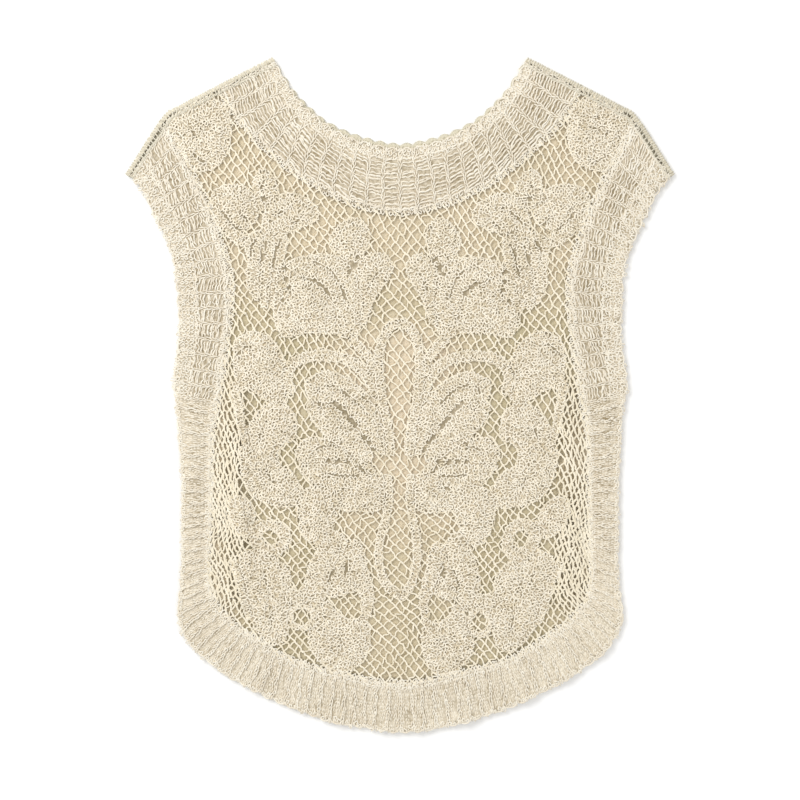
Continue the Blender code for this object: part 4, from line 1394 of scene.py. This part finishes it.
# smaller meshes away from the middle
away = np.maximum(np.abs(node_x - 400) - 45, 0)
node_x = node_x - np.sign(node_x - 400) * 0.13 * away
wx, wy = warp(node_x, node_y)
node_x = node_x + wx + rng.normal(0, 0.5, node_x.shape)
node_y = node_y + wy + rng.normal(0, 0.5, node_y.shape)
node_x, drawn_in = squeezed(node_x, node_y)
node_y = np.where(node_y > 500, 500 + (node_y - 500) * 0.84, node_y)
node_mm = chart(node_x, node_y)
SUB = 5
NET_R = 0.95
for j in range(2 * LAT + 1):
    nodes = node_mm[:, j]
    near = (np.abs(nodes[:, 0]) < 215) & (np.abs(nodes[:, 1]) < 290)
    if near.sum() < 2:
        continue
    first, last = np.nonzero(near)[0][[0, -1]]
    nodes = nodes[first:last + 1]
    drawn = drawn_in[first:last + 1, j]
    if len(nodes) < 3:
        continue
    s = np.arange((len(nodes) - 1) * SUB + 1) / SUB
    line = curve(nodes, s)
    line = uneven(line + rng.normal(0, 0.30, line.shape), 0.9)
    k = np.arange(len(line))
    rad = (1.06 * NET_R * (1 + 0.16 * np.where(k % 2 == 0, 1, -1)) * np.where(k % SUB == 0, 1.32, 1.0)
           * (1 + rng.normal(0, 0.10, len(line))) * (1 + 0.28 * np.interp(s, np.arange(len(drawn)), drawn)))
    good = looked_up(net_area, line) & ~looked_up(keep_out, line)
    start = None
    for i, ok in enumerate(list(good) + [False]):
        if ok and start is None:
            start = i
        elif not ok and start is not None:
            if i - start >= 3:
                part = line[start:i]
                net.tubes(on_front(part, 1.25)[None], rad[start:i][None], tone=0.35 + 0.6 * rng.random(1))
            start = None
p0 = node_mm[:, :-1].reshape(-1, 2)
p1 = node_mm[:, 1:].reshape(-1, 2)
drawn = drawn_in[:, :-1].ravel()
sel = (np.abs(p0[:, 0]) < 240) & (np.abs(p0[:, 1]) < 295)
p0, p1, drawn = p0[sel], p1[sel], drawn[sel]
# the links meet the long strands a little off their knots
e = chart(5.3, 6.6) - chart(0, 0)
e = e / np.hypot(*e)
p0 = p0 + e * rng.normal(0.5, 0.6, (len(p0), 1))
p1 = p1 + e * rng.normal(-0.5, 0.6, (len(p1), 1))
span = p1 - p0
length = np.linalg.norm(span, axis=1)
nrm = np.stack([-span[:, 1], span[:, 0]], axis=1) / length[:, None]
u = np.linspace(0, 1, 5)
bow = rng.normal(0, 0.7, (len(p0), 1))
wig = rng.normal(0, 0.55, (len(p0), 1))
links = (p0[:, None] + span[:, None] * u[None, :, None]
         + nrm[:, None] * (bow * np.sin(math.pi * u) + wig * np.sin(2 * math.pi * u))[..., None])
good = looked_up(net_area, links).all(1) & ~looked_up(keep_out, links).all(1)
good &= ~looked_up(keep_out, links[:, 2])
links = uneven(links[good], 0.9)
drawn = drawn[good]
zz = np.array([1.05, 1.3, 1.35, 1.3, 1.05])
net.tubes(on_front(links, zz[None]), NET_R * np.array([0.98, 0.76, 0.94, 0.76, 0.98])[None]
          * (1 + rng.normal(0, 0.12, (len(links), 1))) * (1 + 0.35 * drawn[:, None]), tone=0.35 + 0.6 * rng.random(len(links)))

lace_sheet = Soup()
lace_sheet.add(net, 0)
lace_sheet.add(ground, 1)
net_obj = lace_sheet.build("front_lace_net", (MAT_NET, MAT_GROUND), "lace_yarn")
lace_left = lace_soups[-1].build("front_lace_motifs_left", MAT_LACE, "lace_yarn")
lace_right = lace_soups[1].build("front_lace_motifs_right", MAT_LACE, "lace_yarn")


# ---------------------------------------------------------------------------
# back
# ---------------------------------------------------------------------------
def panel_patch(columns, rows):
    """Grid over the panel's +X half, side to centre and top to bottom."""
    side = curve(BORDER[:, 2:4], np.linspace(0, CORNER, 400), True)
    hem = curve(BORDER[:, 2:4], np.linspace(CORNER, HALF_BORDER, 300), True)
    neck = curve(NECK[:, 4:6], np.linspace(0, HALF_NECK, 200), True)
    top = np.vstack([SHOULDER, neck[1:]])

    def even(line, n):
        run = np.concatenate([[0], np.cumsum(np.hypot(*np.diff(line, axis=0).T))])
        at = np.linspace(0, run[-1], n + 1)
        return np.stack([np.interp(at, run, line[:, k]) for k in range(2)], axis=1)

    top, hem, side = even(top, columns), even(hem, columns), even(side, rows)
    centre = top[-1] + (hem[-1] - top[-1]) * np.linspace(0, 1, rows + 1)[:, None]
    u = np.linspace(0, 1, columns + 1)[None, :, None]
    v = np.linspace(0, 1, rows + 1)[:, None, None]
    ruled = (1 - v) * top[None] + v * hem[None] + (1 - u) * side[:, None] + u * centre[:, None]
    corners = ((1 - u) * (1 - v) * top[0] + u * (1 - v) * top[-1]
               + (1 - u) * v * hem[0] + u * v * hem[-1])
    half = ruled - corners
    whole = np.concatenate([half * (-1, 1), half[:, -2::-1]], axis=1)
    return whole + (0.0, Y_SHIFT)


SEAM = np.array(((238.0, 192.3), (206.5, 240.9), (193.2, 250.4), (157.5, 269.1), (110.9, 293.0)))


def past_shoulder(xy, by=2.05):
    """Moves points on the shoulder seam outwards, as the back's edge is."""
    out = xy.copy()
    near = np.full(xy.shape[:-1], 1e9)
    push = np.zeros_like(xy)
    x, y = np.abs(xy[..., 0]), xy[..., 1] - Y_SHIFT
    for (ax, ay), (bx, by2) in zip(SEAM, SEAM[1:]):
        ux, uy = bx - ax, by2 - ay
        t = np.clip(((x - ax) * ux + (y - ay) * uy) / (ux * ux + uy * uy), 0, 1)
        d = np.hypot(x - ax - t * ux, y - ay - t * uy)
        n = np.array((-uy, ux)) * (-1 if uy * -1 + ux * 0 < 0 else 1)
        n = np.array((uy, -ux)) / math.hypot(ux, uy)
        closer = d < near
        near = np.where(closer, d, near)
        push = np.where(closer[..., None], n, push)
    sign = np.stack([np.sign(xy[..., 0]), np.ones_like(near)], axis=-1)
    return np.where((near < 0.8)[..., None], out + push * sign * by, out)


back = Soup()
patch = past_shoulder(panel_patch(104, 66))
wale = np.cos(TAU * np.arange(patch.shape[1]) / 4.0)[None] * np.ones((patch.shape[0], 1))
course = np.cos(TAU * np.arange(patch.shape[0]) / 2.0)[:, None]
relief = 0.16 * wale + 0.05 * course
dent = dented(patch[..., 0], patch[..., 1])
# painted shade on the back's upper face: darker under the dense lace, paler where the front lace lies open over it
# and low at the sides
open_mid = (np.clip((78 - np.abs(patch[..., 0])) / 40, 0, 1) * np.clip((75 - patch[..., 1]) / 30, 0, 1)
            * np.clip((patch[..., 1] + 175) / 90, 0.3, 1))
open_top = np.clip((patch[..., 1] - 60) / 50, 0, 1)
shade = 0.30 + 0.70 * open_mid + 0.42 * open_top
shade = shade + 0.6 * np.clip((np.abs(patch[..., 0]) - 135) / 25, 0, 1) * np.clip((30 - patch[..., 1]) / 40, 0, 1)
back.shell(with_z(patch, 2.0 + relief), with_z(patch, 0.25 - relief * 0.95 + dent), shade)
back_obj = back.build("back_panel_knit", MAT_BACK, "back_knit")


def back_band(plan, edges, soup, scallop, rows=16, per=8, edge=0.0):
    """Ribbed shell over both halves; edges holds each side's rib stations."""
    halves, ribs = [], []
    for side in (-1, 1):
        grid_s, grid_u = [], []
        for a, b in pairs(edges[side]):
            u = np.arange(per) / per
            grid_s.append(a + (b - a) * u)
            grid_u.append(u)
        grid_s = np.concatenate(grid_s + [[edges[side][-1]]])
        grid_u = np.concatenate(grid_u + [[0.0]])
        width = np.array([band_width(plan, s, side) for s in grid_s])
        reach = 1.0 + (scallop * (np.sin(math.pi * grid_u) - 0.7) + edge) / width
        ss = np.repeat(grid_s[None], rows, axis=0)
        halves.append(past_shoulder(plan(ss, np.linspace(0, 1, rows)[:, None] * reach[None], side)))
        ribs.append(np.cos(math.pi * grid_u) ** 8)
    xy = np.concatenate([halves[0], halves[1][:, -2::-1]], axis=1)
    rib = np.concatenate([ribs[0], ribs[1][-2::-1]])[None] * np.ones((rows, 1))
    bump = 0.11 * np.cos(math.pi * np.arange(rows))[:, None] * (1 - 0.5 * rib)
    dent = dented(xy[..., 0], xy[..., 1])
    soup.shell(with_z(xy, 2.0 + 0.14 * rib + bump), with_z(xy, 0.78 - 0.66 * rib - bump + 0.7 * dent))


back_border = Soup()
back_neck = Soup()


def back_neck_plan(s, w, side):
    return neck_plan(s, w, side, "back")


border_edges, neck_edges = {}, {}
for side in (-1, 1):
    arm = stations(border_plan, 0.0, FINE_FROM, 12.0, side)
    hem = stations(border_plan, FINE_FROM, 24.0, 10.1, side)
    border_edges[side] = np.concatenate([arm, hem[1:]])
    neck_edges[side] = stations(back_neck_plan, 0.0, 7.0, 14.1, side)
back_band(border_plan, border_edges, back_border, 2.2, edge=-0.6)
back_band(back_neck_plan, neck_edges, back_neck, 2.6, rows=20)

# the back's shoulder edge rolls over onto the front ---------------------------
roll_base, roll_yarn = Soup(), Soup(4)
for side in (-1, 1):
    tip = SEAM[0] + (SEAM[0] - SEAM[1]) / np.linalg.norm(SEAM[0] - SEAM[1]) * 0.6
    end = SEAM[-1] + (SEAM[-1] - SEAM[-2]) / np.linalg.norm(SEAM[-1] - SEAM[-2]) * 0.6
    line = curve(np.vstack([tip, SEAM[1:-1], end]), np.linspace(0, 4, 260))
    run = np.concatenate([[0], np.cumsum(np.hypot(*np.diff(line, axis=0).T))])
    tan = np.gradient(line, axis=0)
    tan /= np.linalg.norm(tan, axis=1, keepdims=True)
    nrm = np.stack([tan[:, 1], -tan[:, 0]], axis=1)
    if nrm[100, 1] < 0:
        nrm = -nrm

    def seam_at(at, out, side=side, run=run, line=line, nrm=nrm):
        base = np.stack([np.interp(at, run, line[:, k]) for k in range(2)], axis=-1)
        push = np.stack([np.interp(at, run, nrm[:, k]) for k in range(2)], axis=-1)
        return (base + push * np.asarray(out)[..., None]) * (side, 1.0) + (0.0, Y_SHIFT)

    ang = np.linspace(0, math.pi, 9)
    out = np.concatenate([[-1.2], 2.05 + 1.25 * np.sin(ang), [0.45]])
    mid_z = np.concatenate([[1.1], 1.1 + 1.25 * (1 - np.cos(ang)), [3.65]])
    out_n = np.concatenate([[0.0], np.sin(ang), [0.0]])
    z_n = np.concatenate([[-1.0], -np.cos(ang), [1.0]])
    at = np.linspace(0, run[-1], 150)
    half = 0.62
    grids = []
    for k in (1, -1):
        o = out[:, None] + k * half * out_n[:, None] + 0 * at[None]
        z = mid_z[:, None] + k * half * z_n[:, None] + 0 * at[None]
        grids.append(with_z(seam_at(np.broadcast_to(at, o.shape), o), z))
    roll_base.shell(grids[1], grids[0])
    # yarns that wrap the fold, and the sewn chain where the two edges meet
    wraps = np.arange(0.8, run[-1] - 0.4, 2.35)
    wraps = wraps + rng.normal(0, 0.25, len(wraps))
    a = np.linspace(-0.25, math.pi, 8)
    o = 2.05 + (1.25 + half + 0.25) * np.sin(a)
    z = 2.35 - (1.25 + half + 0.2) * np.cos(a)
    o = np.append(o, 0.15 + 0 * a[:1])
    z = np.append(z, 4.1)
    lean = np.linspace(-0.8, 0.9, len(o))
    aa = wraps[:, None] + lean[None] + rng.normal(0, 0.12, (len(wraps), len(o)))
    pts = with_z(seam_at(aa, np.broadcast_to(o, aa.shape)), np.broadcast_to(np.maximum(z, 0.70), aa.shape))
    roll_yarn.tubes(pts, 0.78 * (1 + rng.normal(0, 0.07, (len(wraps), 1))), tone=rng.random(len(wraps)))
    # stitches across the seam, two wraps apart, with an eye between them
    cross = np.arange(1.2, run[-1] - 0.8, 3.9)
    cross = cross + rng.normal(0, 0.22, len(cross))
    o = np.array([1.3, 0.5, -0.6, -1.9, -3.0])
    z = np.array([4.1, 4.75, 4.85, 4.9, 4.1])
    aa = cross[:, None] + np.linspace(0.5, -0.6, 5)[None] + rng.normal(0, 0.15, (len(cross), 5))
    roll_yarn.tubes(with_z(seam_at(aa, np.broadcast_to(o, aa.shape)), np.broadcast_to(z, aa.shape)),
                    0.74, tone=rng.random(len(cross)))
    at = np.linspace(0.5, run[-1] - 0.5, 400)
    chain = seam_at(at, np.full_like(at, -2.7))

    def over_front(xy, z):
        return with_z(xy, 2.5 + z)

    braid(roll_yarn, uneven(chain, 0.7), 1.9, 0.68, pitch=5.4, swing=0.7, surface=over_front)
roll_all = Soup()
roll_all.add(roll_base, 0)
roll_all.add(roll_yarn, 1)
roll_obj = roll_all.build("back_shoulder_roll", (MAT_BACK_RIB, MAT_ROLL), "back_rib")

back_border_obj = back_border.build("back_border_knit", MAT_BACK_RIB, "back_rib")
back_neck_obj = back_neck.build("back_neck_knit", MAT_BACK_RIB, "back_rib")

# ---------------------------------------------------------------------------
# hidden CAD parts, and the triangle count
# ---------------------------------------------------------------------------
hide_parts("front_lace_panel")
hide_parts("front_border")
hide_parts("front_neck_band")
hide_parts("back_panel")
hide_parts("back_border")
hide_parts("back_neck_band")

total = 0
for o in bpy.context.scene.objects:
    if o.type == "MESH" and not o.hide_render and o.name != "floor":
        tri = sum(max(p.loop_total - 2, 0) for p in o.data.polygons)
        total += tri
        print("tris", o.name, tri)
print("tris total", total)
